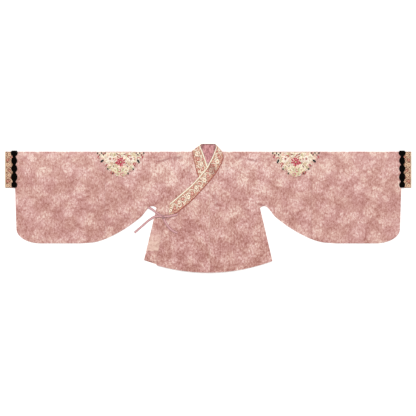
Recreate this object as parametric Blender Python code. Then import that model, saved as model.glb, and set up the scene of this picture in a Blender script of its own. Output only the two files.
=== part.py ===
"""Cross-collar jacket with wide pouch sleeves, laid flat with the arms spread.

Metres. +X points to the wearer's left, +Y to the collar and +Z up from the surface.
The origin lies under the middle of the jacket, on the surface.
"""
import math
from collections import namedtuple

import bmesh
import bpy
import numpy as np

# Cloth, seams and layers
CLOTH = 0.0015
SEAM_GAP = 0.0003
HOLLOW = 0.0006
FOLD_HEIGHT = 2 * CLOTH + HOLLOW
LAYER_STEP = 0.0026

# Overall sizes
HALF_SPAN = 1.050
SHOULDER_Y = 0.2925
COLLAR_TOP_Y = 0.3333
HEM_Y = -0.3333
HEM_RISE = 0.0593
HEM_CORNER_X = 0.3310
BACK_HEM_LIFT = 0.0050
INNER_HEM_Y = -0.2964
INNER_HEM_RISE = 0.0274
CENTRE_SEAM_X = 0.0090

# Sleeves and cuffs
SLEEVE_SEAM_X = 0.5330
SLEEVE_END_X = 0.9980
SLEEVE_BOTTOM_Y = -0.1820
SLEEVE_CORNER_X = 0.8660
SLEEVE_CORNER_Y = -0.1070
SLEEVE_TURN_X = 0.9915
CUFF_BOTTOM_Y = 0.1050

# Body sides, from the armpit to the hem corner
SIDE_TOP_X, SIDE_TOP_Y = 0.2665, 0.0030
SIDE_FOOT_X = HEM_CORNER_X

# Underarm line of a sleeve, from the armpit out to its level bottom
Point = namedtuple("Point", "x y")
UNDERARM = (
    Point(0.2665, 0.0030),
    Point(0.2830, 0.0110),
    Point(0.3530, -0.0490),
    Point(0.4300, -0.1050),
    Point(0.4900, -0.1390),
    Point(0.5780, -0.1740),
    Point(0.6630, -0.1820),
)

# Neck
NECK_HALF = 0.0700
NECK_DROP = 0.0165
NECKLINE_SHARE = 0.60

# Collar band: a row for each station from its lower end up to the fold at the neck
Station = namedtuple("Station", "inner_x inner_y outer_x outer_y")
OVER_BAND = (
    Station(-0.2012, 0.0008, -0.2053, -0.0344),
    Station(-0.1986, 0.0220, -0.1614, -0.0251),
    Station(-0.1433, 0.0701, -0.1019, 0.0235),
    Station(-0.0859, 0.1197, -0.0424, 0.0820),
    Station(-0.0290, 0.1834, 0.0083, 0.1399),
    Station(-0.0067, 0.2103, 0.0403, 0.1792),
    Station(0.0093, 0.2418, 0.0641, 0.2211),
    Station(0.0228, 0.2666, 0.0750, 0.2460),
    Station(0.0352, 0.2987, 0.0781, 0.2723),
    Station(0.0450, 0.3251, 0.0714, 0.2941),
)
UNDER_BAND = (
    Station(0.0060, 0.1990, -0.0440, 0.1500),
    Station(-0.0021, 0.2149, -0.0533, 0.1668),
    Station(-0.0134, 0.2475, -0.0678, 0.2190),
    Station(-0.0248, 0.2811, -0.0766, 0.2542),
    Station(-0.0440, 0.3260, -0.0838, 0.2961),
)
BACK_TOP_INSET = 0.10
BAND_WIDTH = 0.0570
BAND_THICK = 0.0016
CREAM_SHARE = 0.080
RED_SHARE = 0.055
PIPING_RISE = 0.0007
BAND_ROWS, UNDER_ROWS, TURN_ROWS = 30, 10, 4

# Lining seen inside the neck
LINING_THICK = 0.0008
LINING_LAP = 0.008
LINING_FOOT_Y = 0.2350
LINING_TOP_INSET = 0.0055
LINING_NARROWING = 0.0155

# Flaps
FLAP_FOOT_X = -0.2674
FLAP_BOW = 0.0080
INNER_FLAP_TOP = Point(0.1280, 0.0190)
INNER_FLAP_FOOT_X = 0.1550
FLAP_COLUMNS, FLAP_ROWS = 9, 12

# Puff of the top layer over the back, and the folds that stand in it
PUFF_BODY, PUFF_SLEEVE, PUFF_CUFF = 0.0014, 0.0032, 0.0008
PUFF_REACH = 0.050
SLEEVE_PUFF_FROM_X, SLEEVE_PUFF_TO_X = 0.20, 0.50
CUFF_PUFF_FROM_X, CUFF_PUFF_TO_X = 0.80, 1.00
HEM_PUFF_SHARE, HEM_PUFF_REACH = 0.35, 0.10
EDGE_FADE = 3.0
STEP_SIDE_X, STEP_CENTRE_X, STEP_SHOULDER_REACH = 0.25, 0.08, 0.080
FOLD_FADE_START, FOLD_FADE_LENGTH = -0.10, 0.45
Fold = namedtuple("Fold", "x0 y0 x1 y1 width height")
FOLDS = (
    Fold(-0.2660, 0.2420, -0.1460, 0.2700, 0.014, 0.0014),
    Fold(0.1560, 0.2650, 0.2530, 0.2420, 0.014, 0.0014),
    Fold(0.2530, 0.0230, 0.3280, 0.0060, 0.010, 0.0012),
    Fold(0.2900, 0.0600, 0.5200, -0.0700, 0.026, 0.0016),
    Fold(-0.2900, 0.0550, -0.5000, -0.0800, 0.026, 0.0016),
    Fold(0.3000, 0.1100, 0.6800, 0.0100, 0.030, 0.0014),
    Fold(-0.3000, 0.1150, -0.7000, 0.0000, 0.030, 0.0014),
    Fold(0.7400, 0.1900, 0.9100, -0.0900, 0.030, 0.0012),
    Fold(-0.7200, 0.2000, -0.9000, -0.1000, 0.030, 0.0012),
    Fold(0.1750, -0.0500, 0.2150, -0.2600, 0.022, 0.0012),
    Fold(-0.1100, -0.0300, -0.1300, -0.2500, 0.022, 0.0012),
)

# Round embroidered patches at the upper arm
PATCH_X = 0.4526
PATCH_HALF_WIDTH = 0.1270
PATCH_DEPTH = 0.1400
PATCH_TOP_INSET = 0.0040
PATCH_THICK = 0.0010
PATCH_SCALLOPS = 9
PATCH_SCALLOP_DEPTH = 0.0040
PATCH_FLATTENING = 0.06
PATCH_RINGS, PATCH_RAYS = 5, 28

# Lobed braid on the cuff seam: a row for each lobe, from the shoulder down
Lobe = namedtuple("Lobe", "y half_length half_width")
BRAID_X = 1.0015
BRAID_WAIST = 0.0085
BRAID_EDGE_THICK = 0.0010
BRAID_CROWN = 0.0012
BRAID_TOP_INSET, BRAID_FOOT_INSET = 0.0020, 0.0010
BRAID_ROWS = 40
BRAID_LOBES = (
    Lobe(0.2770, 0.0140, 0.0175),
    Lobe(0.2450, 0.0180, 0.0150),
    Lobe(0.2055, 0.0210, 0.0165),
    Lobe(0.1615, 0.0225, 0.0172),
    Lobe(0.1220, 0.0175, 0.0160),
)

# Ties
TIE_WIDTH = 0.0110
TIE_THICK = 0.0012
SIDE_TIE = (
    Point(-0.3114, 0.0060),
    Point(-0.2910, -0.0055),
    Point(-0.2750, -0.0170),
    Point(-0.2524, -0.0330),
    Point(-0.2338, -0.0470),
    Point(-0.2225, -0.0720),
    Point(-0.2030, -0.1040),
    Point(-0.1850, -0.1160),
    Point(-0.1614, -0.1230),
)
COLLAR_TIE = (
    Point(-0.1600, -0.0325),
    Point(-0.1850, -0.0375),
    Point(-0.2080, -0.0420),
    Point(-0.2338, -0.0435),
    Point(-0.2545, -0.0415),
    Point(-0.2760, -0.0440),
    Point(-0.3000, -0.0580),
    Point(-0.3400, -0.0910),
    Point(-0.3812, -0.1270),
)
TIE_ROWS = 34
TIE_CLEARANCE = 0.0004
SIDE_TIE_CLIMB_Y = (-0.050, -0.070)
COLLAR_TIE_STEP_X = (-0.278, -0.263)
COLLAR_TIE_DROP_X = (-0.306, -0.279)
KNOT_CENTRE = Point(-0.2345, -0.0440)
KNOT_LENGTH, KNOT_WIDTH, KNOT_HEIGHT = 0.0190, 0.0130, 0.0034
KNOT_RIM, KNOT_ROUNDING = 0.0008, 0.96

# Grids of the body halves: distances from the centre line, in the torso and the sleeve root
TORSO_COLUMNS = (0.0, 0.020, 0.040, 0.055, NECK_HALF, 0.100, 0.135, 0.175, 0.220, SIDE_TOP_X)
NECK_CELLS = 4
ROOT_COLUMNS, ROOT_SPACING = 9, 1.25
SKIRT_ROWS, CHEST_ROWS, FOLD_ROWS = 9, 11, 3
SLEEVE_RIBS, SLEEVE_ROWS = 17, 13
CUFF_RIBS, CUFF_ROWS = 2, 7

# Colours in linear light, with the roughness of each cloth
Finish = namedtuple("Finish", "red green blue roughness")
ROSE_JACQUARD = Finish(0.62, 0.35, 0.32, 0.62)
COLLAR_BROCADE = Finish(0.70, 0.46, 0.34, 0.60)
CREAM_PIPING = Finish(0.86, 0.80, 0.66, 0.50)
RED_PIPING = Finish(0.33, 0.07, 0.06, 0.50)
NECK_LINING = Finish(0.55, 0.22, 0.26, 0.60)
BLACK_BRAID = Finish(0.006, 0.005, 0.005, 0.55)
PATCH_SILK = Finish(0.78, 0.66, 0.46, 0.50)
TIE_CLOTH = Finish(0.62, 0.33, 0.34, 0.60)


def smooth_step(low, high, value):
    """Runs from 0 at low to 1 at high with level ends."""
    share = np.clip((value - low) / (high - low), 0.0, 1.0)
    return share * share * (3.0 - 2.0 * share)


def smooth_path(points, count):
    """Gives count evenly spaced points on a smooth curve through the given ones."""
    knots = np.asarray(points, dtype=float)
    reach = np.concatenate(([0.0], np.cumsum(np.linalg.norm(np.diff(knots, axis=0), axis=1))))
    slopes = np.gradient(knots, reach, axis=0)
    dense = np.linspace(0.0, reach[-1], 40 * len(knots))
    left = np.clip(np.searchsorted(reach, dense, side="right") - 1, 0, len(knots) - 2)
    span = (reach[left + 1] - reach[left])[:, None]
    share = (dense - reach[left])[:, None] / span
    curve = (
        (1 + 2 * share) * (1 - share) ** 2 * knots[left]
        + share * (1 - share) ** 2 * span * slopes[left]
        + share ** 2 * (3 - 2 * share) * knots[left + 1]
        + share ** 2 * (share - 1) * span * slopes[left + 1]
    )
    return even_points(curve, count)


def even_points(curve, count):
    """Spaces count points evenly along a line of many points."""
    reach = np.concatenate(([0.0], np.cumsum(np.linalg.norm(np.diff(curve, axis=0), axis=1))))
    wanted = np.linspace(0.0, reach[-1], count)
    return np.stack([np.interp(wanted, reach, curve[:, axis]) for axis in range(curve.shape[1])], axis=1)


def sleeve_outline():
    """Runs along a sleeve's sewn edge from the armpit to the cuff."""
    under = smooth_path(UNDERARM, 60)
    turn = np.linspace(math.pi / 2, 0.0, 16)
    corner = np.stack([
        SLEEVE_CORNER_X + (SLEEVE_TURN_X - SLEEVE_CORNER_X) * np.cos(turn),
        SLEEVE_CORNER_Y + (SLEEVE_BOTTOM_Y - SLEEVE_CORNER_Y) * np.sin(turn),
    ], axis=1)
    end = np.array([[SLEEVE_END_X, CUFF_BOTTOM_Y]])
    return np.concatenate([under, corner, end])


def sewn_edge():
    """Gives points on all that is sewn shut at one side: body side, sleeve and cuff bottom."""
    side = np.array([[SIDE_FOOT_X, HEM_Y + HEM_RISE], [SIDE_TOP_X, SIDE_TOP_Y]])
    cuff = np.array([[HALF_SPAN, CUFF_BOTTOM_Y]])
    return even_points(np.concatenate([side, sleeve_outline(), cuff]), 260)


SEWN_EDGE = sewn_edge()


def edge_distance(x, y):
    """Gives the distance in plan to the nearest sewn edge."""
    across = np.abs(x)[..., None] - SEWN_EDGE[:, 0]
    along = y[..., None] - SEWN_EDGE[:, 1]
    return np.sqrt((across ** 2 + along ** 2).min(axis=-1))


def fold_ridges(x, y):
    """Adds up the soft ridges of the folds, each a rounded bar that fades at both ends."""
    total = np.zeros_like(x)
    for fold in FOLDS:
        run = np.array([fold.x1 - fold.x0, fold.y1 - fold.y0])
        length = np.linalg.norm(run)
        run = run / length
        along = ((x - fold.x0) * run[0] + (y - fold.y0) * run[1]) / length
        aside = (y - fold.y0) * run[0] - (x - fold.x0) * run[1]
        fade = smooth_step(FOLD_FADE_START, FOLD_FADE_START + FOLD_FADE_LENGTH, along)
        fade = fade * smooth_step(FOLD_FADE_START, FOLD_FADE_START + FOLD_FADE_LENGTH, 1.0 - along)
        total = total + fold.height * fade * np.exp(-(aside / fold.width) ** 2)
    return total


def puff(x, y):
    """Gives how far the top layer stands above its sewn edges and the shoulder fold."""
    out = np.abs(x)
    in_sleeve = smooth_step(SLEEVE_PUFF_FROM_X, SLEEVE_PUFF_TO_X, out)
    in_cuff = smooth_step(CUFF_PUFF_FROM_X, CUFF_PUFF_TO_X, out)
    size = PUFF_BODY + (PUFF_SLEEVE - PUFF_BODY) * in_sleeve + (PUFF_CUFF - PUFF_SLEEVE) * in_cuff
    below_shoulder = np.clip(SHOULDER_Y - y, 0.0, None)
    near_shoulder = 1.0 - np.exp(-below_shoulder / PUFF_REACH)
    near_edge = 1.0 - np.exp(-edge_distance(x, y) / PUFF_REACH)
    above_hem = smooth_step(0.0, HEM_PUFF_REACH, y - outer_hem_y(x))
    near_hem = HEM_PUFF_SHARE + (1.0 - HEM_PUFF_SHARE) * above_hem
    calm = np.minimum(1.0, EDGE_FADE * near_shoulder) * np.minimum(1.0, EDGE_FADE * near_edge)
    return size * near_shoulder * near_edge * near_hem + fold_ridges(x, y) * calm


def overlap_step(x, y):
    """Lifts the outermost layer over the one it covers, and lowers it to the side and shoulder."""
    toward_side = smooth_step(STEP_SIDE_X, STEP_CENTRE_X, x)
    below_shoulder = smooth_step(0.0, STEP_SHOULDER_REACH, SHOULDER_Y - y)
    return LAYER_STEP * toward_side * below_shoulder


def inner_top(x, y):
    """Top face of a layer that lies straight on the back."""
    return FOLD_HEIGHT + puff(x, y)


def outer_top(x, y):
    """Top face of the outermost front layer."""
    return inner_top(x, y) + overlap_step(x, y)


def outer_hem_y(x):
    """Hem line of the outer front: a shallow arc."""
    return HEM_Y + HEM_RISE * np.minimum(np.abs(x) / HEM_CORNER_X, 1.0) ** 2


def back_hem_y(x):
    """Hem line of the back, a little shorter than the front."""
    return outer_hem_y(x) + BACK_HEM_LIFT


def inner_hem_y(x):
    """Hem line of the inner front."""
    return INNER_HEM_Y + INNER_HEM_RISE * (x / HEM_CORNER_X) ** 2


def band_edges(stations, count):
    """Gives the inner and outer edge of a collar stretch, count points on each."""
    table = np.asarray(stations, dtype=float)
    return smooth_path(table[:, :2], count), smooth_path(table[:, 2:], count)


def neckline(stations):
    """Cut edge of a front under the collar band, as x and y in rising x."""
    inner, outer = band_edges(stations, 60)
    line = inner + (outer - inner) * NECKLINE_SHARE
    return line[np.argsort(line[:, 0])]


def left_front_top(x):
    """Upper edge of the wearer's left front at a distance from the centre."""
    line = neckline(OVER_BAND)
    return np.where(x < NECK_HALF - 1e-6, np.interp(x, line[:, 0], line[:, 1]), SHOULDER_Y)


def right_front_top(x):
    """Upper edge of the wearer's right front, whose x is below zero."""
    line = neckline(UNDER_BAND)
    return np.where(x > -NECK_HALF + 1e-6, np.interp(x, line[:, 0], line[:, 1]), SHOULDER_Y)


def back_neck_y(x):
    """Back neckline: a shallow scoop between the neck points."""
    return SHOULDER_Y - NECK_DROP * np.clip(1.0 - (x / NECK_HALF) ** 2, 0.0, None)


def make_material(name, finish):
    """Makes a Principled material of one cloth."""
    material = bpy.data.materials.new(name)
    material.use_nodes = True
    shader = material.node_tree.nodes["Principled BSDF"]
    shader.inputs["Base Color"].default_value = (finish.red, finish.green, finish.blue, 1.0)
    shader.inputs["Roughness"].default_value = finish.roughness
    shader.inputs["Metallic"].default_value = 0.0
    return material


def add_object(name, mesh_data, material):
    """Turns a bmesh into a named object with outward faces."""
    bmesh.ops.remove_doubles(mesh_data, verts=mesh_data.verts, dist=1e-6)
    bmesh.ops.triangulate(mesh_data, faces=mesh_data.faces, quad_method="FIXED")
    bmesh.ops.recalc_face_normals(mesh_data, faces=mesh_data.faces)
    mesh = bpy.data.meshes.new(name)
    mesh_data.to_mesh(mesh)
    mesh_data.free()
    mesh.materials.append(material)
    item = bpy.data.objects.new(name, mesh)
    bpy.context.scene.collection.objects.link(item)
    return item


def wall(name, outer, inner, material, cells=None, ring=False, sewn=()):
    """Builds one closed cloth wall from two matching grids of points.

    outer and inner are (rows, columns, 3). cells says which grid cells are cloth. A ring
    joins its last row to its first. sewn is a list of pairs of nodes, each a (row, column),
    along which two edges of the wall are joined instead of closed.
    """
    rows, columns = outer.shape[:2]
    row_cells = rows if ring else rows - 1
    if cells is None:
        cells = np.ones((row_cells, columns - 1), dtype=bool)
    mesh_data = bmesh.new()
    faces = [[mesh_data.verts.new(point) for point in grid.reshape(-1, 3)] for grid in (outer, inner)]

    def node(side, place):
        return faces[side][(place[0] % rows) * columns + place[1]]

    open_edges = {}
    for row, column in zip(*np.nonzero(cells)):
        corners = [(row, column), (row, column + 1), (row + 1, column + 1), (row + 1, column)]
        mesh_data.faces.new([node(0, corner) for corner in corners])
        mesh_data.faces.new([node(1, corner) for corner in corners])
        for start, end in zip(corners, corners[1:] + corners[:1]):
            key = frozenset([(start[0] % rows, start[1]), (end[0] % rows, end[1])])
            open_edges[key] = open_edges.get(key, 0) + 1
    joined = set()
    for (front0, back0), (front1, back1) in zip(sewn, sewn[1:]):
        joined.update([frozenset([front0, front1]), frozenset([back0, back1])])
        for side in (0, 1):
            mesh_data.faces.new([node(side, place) for place in (front0, front1, back1, back0)])
    for front, back in (sewn[0], sewn[-1]) if sewn else ():
        mesh_data.faces.new([node(0, front), node(0, back), node(1, back), node(1, front)])
    for edge, uses in open_edges.items():
        if uses == 1 and edge not in joined:
            start, end = edge
            mesh_data.faces.new([node(0, start), node(0, end), node(1, end), node(1, start)])
    loose = [vert for vert in mesh_data.verts if not vert.link_faces]
    bmesh.ops.delete(mesh_data, geom=loose, context="VERTS")
    return add_object(name, mesh_data, material)


def layer(x, y, z):
    """Stacks plan positions and heights into grid points."""
    return np.stack(np.broadcast_arrays(x, y, z), axis=-1)


def body_columns(side, front_centre):
    """Gives the distances from the centre of a body half's columns, back and front."""
    spacing = np.linspace(0.0, 1.0, ROOT_COLUMNS) ** ROOT_SPACING
    root = SIDE_TOP_X + (SLEEVE_SEAM_X - SEAM_GAP / 2 - SIDE_TOP_X) * spacing
    back = np.concatenate([TORSO_COLUMNS, root[1:]])
    back[0] = SEAM_GAP / 2
    shift = np.clip(1.0 - back / NECK_HALF, 0.0, None)
    front = back + (front_centre * side - back[0]) * shift
    return side * back, side * front


def panel_plan(columns, centre, top_y, hem_y):
    """Gives x and y of a body panel's nodes, from the hem (row 0) up to its top edge."""
    torso = len(TORSO_COLUMNS)
    side = np.sign(columns[-1])
    from_centre = (columns - centre) / (side * SIDE_TOP_X - centre)
    foot = columns + side * (SIDE_FOOT_X - SIDE_TOP_X) * np.clip(from_centre, 0.0, 1.0)
    chest_foot_y = np.full_like(columns, SIDE_TOP_Y)
    under = smooth_path(UNDERARM, 200)
    out = np.abs(columns[torso:])
    chest_foot_y[torso:] = np.interp(out, under[:, 0], under[:, 1])
    skirt = np.linspace(1.0, 0.0, SKIRT_ROWS + 1)[:, None]
    chest = np.linspace(0.0, 1.0, CHEST_ROWS + 1)[1:, None]
    x = np.concatenate([columns + (foot - columns) * skirt, columns + 0.0 * chest])
    y_skirt = chest_foot_y + (hem_y(foot) - chest_foot_y) * skirt
    y_skirt[:, torso:] = chest_foot_y[torso:]
    y = np.concatenate([y_skirt, chest_foot_y + (top_y - chest_foot_y) * chest])
    return x, y


def body_half(name, side, front_centre, front_top, hem_y, top_height, material):
    """Builds a body half: back and front in one piece over the shoulder, sewn at side and underarm."""
    back_x, front_x = body_columns(side, front_centre)
    radius = FOLD_HEIGHT / 2
    folded = np.abs(back_x) > NECK_HALF - 1e-6
    back_top = np.where(folded, SHOULDER_Y - radius, back_neck_y(back_x))
    front_top_y = np.where(folded, SHOULDER_Y - radius, front_top(front_x))
    bx, by = panel_plan(back_x, side * SEAM_GAP / 2, back_top, back_hem_y)
    fx, fy = panel_plan(front_x, front_centre, front_top_y, hem_y)
    height = top_height(fx, fy)
    height[-1] = np.where(folded, FOLD_HEIGHT, height[-1])
    angle = np.linspace(-math.pi / 2, math.pi / 2, FOLD_ROWS + 1)[1:-1, None]

    def turn(reach):
        return layer(back_x + 0 * angle, SHOULDER_Y - radius + reach * np.cos(angle),
                     radius + reach * np.sin(angle))

    torso, last = len(TORSO_COLUMNS) - 1, len(back_x) - 1
    skirt, chest = SKIRT_ROWS, SKIRT_ROWS + CHEST_ROWS
    seam = [(row, torso) for row in range(skirt + 1)]
    seam += [(skirt, column) for column in range(torso + 1, last + 1)]
    height[tuple(zip(*seam))] = FOLD_HEIGHT
    inset_x, inset_y = np.zeros_like(bx), np.zeros_like(by)
    inset_x[:skirt + 1, torso] = -side * CLOTH
    inset_y[skirt, torso + 1:] = CLOTH
    outer = np.concatenate([layer(bx, by, 0.0), turn(radius), layer(fx, fy, height)[::-1]])
    inner = np.concatenate([
        layer(bx + inset_x, by + inset_y, CLOTH),
        turn(radius - CLOTH),
        layer(fx + inset_x, fy + inset_y, height - CLOTH)[::-1],
    ])
    rows = len(outer)
    cells = np.ones((rows - 1, last), dtype=bool)
    cells[:skirt, torso:] = False
    cells[rows - 1 - skirt:, torso:] = False
    cells[chest:rows - 1 - chest, :NECK_CELLS] = False
    sewn = [((rows - 1 - row, column), (row, column)) for row, column in seam]
    return wall(name, outer, inner, material, cells, sewn=sewn)


def flat_ring(top_points, low_points, rows, height_of):
    """Gives the outer and inner points of a flattened tube whose ribs run between two lines."""
    radius = FOLD_HEIGHT / 2
    run = low_points - top_points
    length = np.linalg.norm(run, axis=1, keepdims=True)
    run = run / length
    angle = np.linspace(math.pi / 2, -math.pi / 2, FOLD_ROWS + 1)[1:-1]
    share = np.linspace(0.0, 1.0, rows + 1)[:, None]
    along = radius + (length[:, 0] - 2 * radius) * share

    def plan(reach):
        return top_points[None] + run[None] * reach[..., None]

    def loop(wall_reach, back_z, top_drop):
        flat = plan(along)
        x, y = flat[..., 0], flat[..., 1]
        height = height_of(x, y)
        height[[0, -1]] = FOLD_HEIGHT
        front = layer(x, y, height - top_drop)
        low_turn = plan(length[:, 0] - radius + wall_reach * np.cos(angle)[:, None] + 0 * along[:1])
        low = layer(low_turn[..., 0], low_turn[..., 1], radius + wall_reach * np.sin(angle)[:, None])
        back = layer(x, y, back_z)[::-1]
        top_turn = plan(radius - wall_reach * np.cos(angle)[:, None] + 0 * along[:1])
        top = layer(top_turn[..., 0], top_turn[..., 1], radius + wall_reach * np.sin(angle)[:, None])[::-1]
        return np.concatenate([front, low, back, top])

    return loop(radius, 0.0, 0.0), loop(radius - CLOTH, CLOTH, CLOTH)


def sleeve(name, side, material):
    """Builds the wide outer sleeve: a flattened tube whose ribs fan round its lower corner."""
    start = SLEEVE_SEAM_X + SEAM_GAP / 2
    outline = sleeve_outline()
    beyond = outline[outline[:, 0] > start]
    first = np.array([[start, np.interp(start, outline[:60, 0], outline[:60, 1])]])
    low = even_points(np.concatenate([first, beyond]), SLEEVE_RIBS + 1)
    share = np.linspace(0.0, 1.0, SLEEVE_RIBS + 1)
    top = np.stack([start + (SLEEVE_END_X - start) * share, np.full_like(share, SHOULDER_Y)], axis=1)
    scale = np.array([side, 1.0])
    outer, inner = flat_ring(top * scale, low * scale, SLEEVE_ROWS, inner_top)
    return wall(name, outer, inner, material, ring=True)


def cuff(name, side, material):
    """Builds the cuff: a short flattened tube beyond the sleeve's end."""
    x = side * np.linspace(SLEEVE_END_X + SEAM_GAP, HALF_SPAN, CUFF_RIBS + 1)
    top = np.stack([x, np.full_like(x, SHOULDER_Y)], axis=1)
    low = np.stack([x, np.full_like(x, CUFF_BOTTOM_Y)], axis=1)
    outer, inner = flat_ring(top, low, CUFF_ROWS, inner_top)
    return wall(name, outer, inner, material, ring=True)


def flap_outer(material):
    """Builds the outer flap, from the centre front seam to its free edge."""
    share = np.linspace(0.0, 1.0, FLAP_COLUMNS + 1)
    seam_x = CENTRE_SEAM_X - SEAM_GAP
    top_line = neckline(OVER_BAND)
    top_line = top_line[top_line[:, 0] <= seam_x][::-1]
    corner = np.array([[seam_x, float(left_front_top(np.array([seam_x]))[0])]])
    top = even_points(np.concatenate([corner, top_line]), FLAP_COLUMNS + 1)
    foot_x = seam_x + (FLAP_FOOT_X - seam_x) * share
    foot = np.stack([foot_x, outer_hem_y(foot_x)], axis=1)
    down = np.linspace(0.0, 1.0, FLAP_ROWS + 1)[:, None, None]
    plan = top + (foot - top) * down
    plan[..., 0] -= FLAP_BOW * np.sin(math.pi * down[..., 0]) * share ** 2
    x, y = plan[..., 0], plan[..., 1]
    top_z = outer_top(x, y)
    return wall("flap_outer", layer(x, y, top_z), layer(x, y, top_z - CLOTH), material)


def flap_inner(material):
    """Builds the hidden inner flap, a plain panel on the back beyond the centre."""
    share = np.linspace(0.0, 1.0, 6)
    seam_x = SEAM_GAP / 2
    seam_top = float(right_front_top(np.array([0.0]))[0])
    top = np.stack([seam_x + (INNER_FLAP_TOP.x - seam_x) * share,
                    seam_top + (INNER_FLAP_TOP.y - seam_top) * share], axis=1)
    foot_x = seam_x + (INNER_FLAP_FOOT_X - seam_x) * share
    foot = np.stack([foot_x, inner_hem_y(foot_x)], axis=1)
    plan = top + (foot - top) * np.linspace(0.0, 1.0, 7)[:, None, None]
    low_z = CLOTH + SEAM_GAP
    x, y = plan[..., 0], plan[..., 1]
    return wall("flap_inner", layer(x, y, low_z + CLOTH), layer(x, y, low_z), material)


def collar_rows():
    """Gives the collar's rows as inner and outer plan edges with a way of turning each.

    Each row holds its two edge points, the angle of its turn (90 degrees on the front,
    -90 degrees on the back) and the outward direction of its neck fold.
    """
    over_in, over_out = band_edges(OVER_BAND, BAND_ROWS)
    under_in, under_out = band_edges(UNDER_BAND, UNDER_ROWS)
    right, left = (over_in[-1], over_out[-1]), (under_in[-1], under_out[-1])
    neck_x = np.array(TORSO_COLUMNS[:NECK_CELLS + 1])
    line_x = np.concatenate([[right[1][0]], neck_x[-2::-1], -neck_x[1:], [left[1][0]]])
    share = (line_x[0] - line_x) / (line_x[0] - line_x[-1])
    back_in = right[0] + (left[0] - right[0]) * share[:, None]
    lift = np.minimum(1.0, np.minimum(share, 1.0 - share) / BACK_TOP_INSET)
    back_in[:, 1] += (COLLAR_TOP_Y - back_in[:, 1]) * lift
    back_out = np.stack([line_x, back_neck_y(line_x) + SEAM_GAP], axis=1)
    back_out[0], back_out[-1] = right[1], left[1]
    return (over_in, over_out), (back_in, back_out), (under_in[::-1], under_out[::-1])


def outward_of(inner, outer):
    """Unit direction across a neck fold, away from the jacket."""
    run = outer - inner
    across = np.array([-run[1], run[0]])
    across = across if across[1] > 0 else -across
    return across / np.linalg.norm(across)


def collar_grid(low_share, high_share, columns, crown, thick):
    """Gives the brocade and the hidden face of a lengthwise strip of the folded collar."""
    over, back, under = collar_rows()
    share = low_share + (high_share - low_share) * np.linspace(0.0, 1.0, columns + 1)
    dome = crown * (1.0 - (2.0 * np.linspace(0.0, 1.0, columns + 1) - 1.0) ** 2)
    radius = (FOLD_HEIGHT + SEAM_GAP + BAND_THICK) / 2

    def spread(edges):
        return edges[0][:, None] + (edges[1] - edges[0])[:, None] * share[:, None]

    def front(edges, height_of, shift):
        plan = spread(edges)
        plan[-1 if shift > 0 else 0] -= radius * outward_of(*[edge[-1 if shift > 0 else 0] for edge in edges])
        x, y = plan[..., 0], plan[..., 1]
        low = height_of(x, y) + SEAM_GAP
        return layer(x, y, low + thick + dome), layer(x, y, low)

    def turn(edge_pair, angles):
        inner, outer = edge_pair
        out = outward_of(inner, outer)
        line = inner + (outer - inner) * share[:, None] - out * radius
        faces = []
        for reach in (radius + dome, radius - thick + 0 * dome):
            plan = line + out * (reach * np.cos(angles)[:, None])[..., None]
            faces.append(layer(plan[..., 0], plan[..., 1], radius + reach * np.sin(angles)[:, None]))
        return faces

    angles = np.linspace(math.pi / 2, -math.pi / 2, TURN_ROWS + 1)[1:-1]
    back_plan = spread(back)
    for row in (0, -1):
        back_plan[row] -= radius * outward_of(back[0][row], back[1][row])
    middle = [layer(back_plan[..., 0], back_plan[..., 1], 0.0 * back_plan[..., 0]),
              layer(back_plan[..., 0], back_plan[..., 1], thick)]
    parts = [
        front(over, outer_top, 1),
        turn((over[0][-1], over[1][-1]), angles),
        middle,
        turn((under[0][0], under[1][0]), angles[::-1]),
        front(under, inner_top, -1),
    ]
    return [np.concatenate([part[face] for part in parts]) for face in (0, 1)]


def collar_pieces(brocade, cream, red):
    """Builds the long collar band and the two pipings along its edges."""
    gap = SEAM_GAP / BAND_WIDTH
    faces = collar_grid(CREAM_SHARE, 1.0 - RED_SHARE, 4, 0.0, BAND_THICK)
    wall("collar_band", faces[0], faces[1], brocade)
    faces = collar_grid(0.0, CREAM_SHARE - gap, 2, PIPING_RISE, BAND_THICK)
    wall("piping_cream", faces[0], faces[1], cream)
    faces = collar_grid(1.0 - RED_SHARE + gap, 1.0, 2, PIPING_RISE, BAND_THICK)
    wall("piping_red", faces[0], faces[1], red)


def neck_lining(material):
    """Builds the lining that shows inside the neck, on the back of the collar."""
    over_in, _ = band_edges(OVER_BAND, 60)
    under_in, _ = band_edges(UNDER_BAND, 60)
    y = np.linspace(LINING_FOOT_Y, COLLAR_TOP_Y - LINING_TOP_INSET, 9)
    right = np.interp(y, over_in[:, 1], over_in[:, 0]) + LINING_LAP
    left = np.interp(y, under_in[:, 1], under_in[:, 0]) - LINING_LAP
    narrow = smooth_step(SHOULDER_Y, COLLAR_TOP_Y - LINING_TOP_INSET, y)
    right, left = right - LINING_NARROWING * narrow, left + LINING_NARROWING * narrow
    share = np.linspace(0.0, 1.0, 5)
    x = left[:, None] + (right - left)[:, None] * share
    low_z = BAND_THICK + SEAM_GAP
    top = layer(x, y[:, None], low_z + LINING_THICK)
    return wall("neck_lining", top, layer(x, y[:, None], low_z), material)


def patch(name, side, material):
    """Builds a half-round embroidered patch that hangs from the shoulder fold."""
    angle = np.linspace(math.pi, 2 * math.pi, PATCH_RAYS + 1)
    scallop = PATCH_SCALLOP_DEPTH * np.abs(np.sin((angle - math.pi) * PATCH_SCALLOPS / 2))
    pointed = 1.0 - PATCH_FLATTENING * np.abs(np.sin(2 * (angle - math.pi)))
    rings = np.linspace(0.0, 1.0, PATCH_RINGS + 1)[:, None]
    x = side * PATCH_X + rings * (PATCH_HALF_WIDTH * pointed - scallop) * np.cos(angle)
    y = SHOULDER_Y - PATCH_TOP_INSET + rings * (PATCH_DEPTH * pointed - scallop) * np.sin(angle)
    low = inner_top(x, y) + SEAM_GAP
    return wall(name, layer(x, y, low + PATCH_THICK), layer(x, y, low), material)


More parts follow.
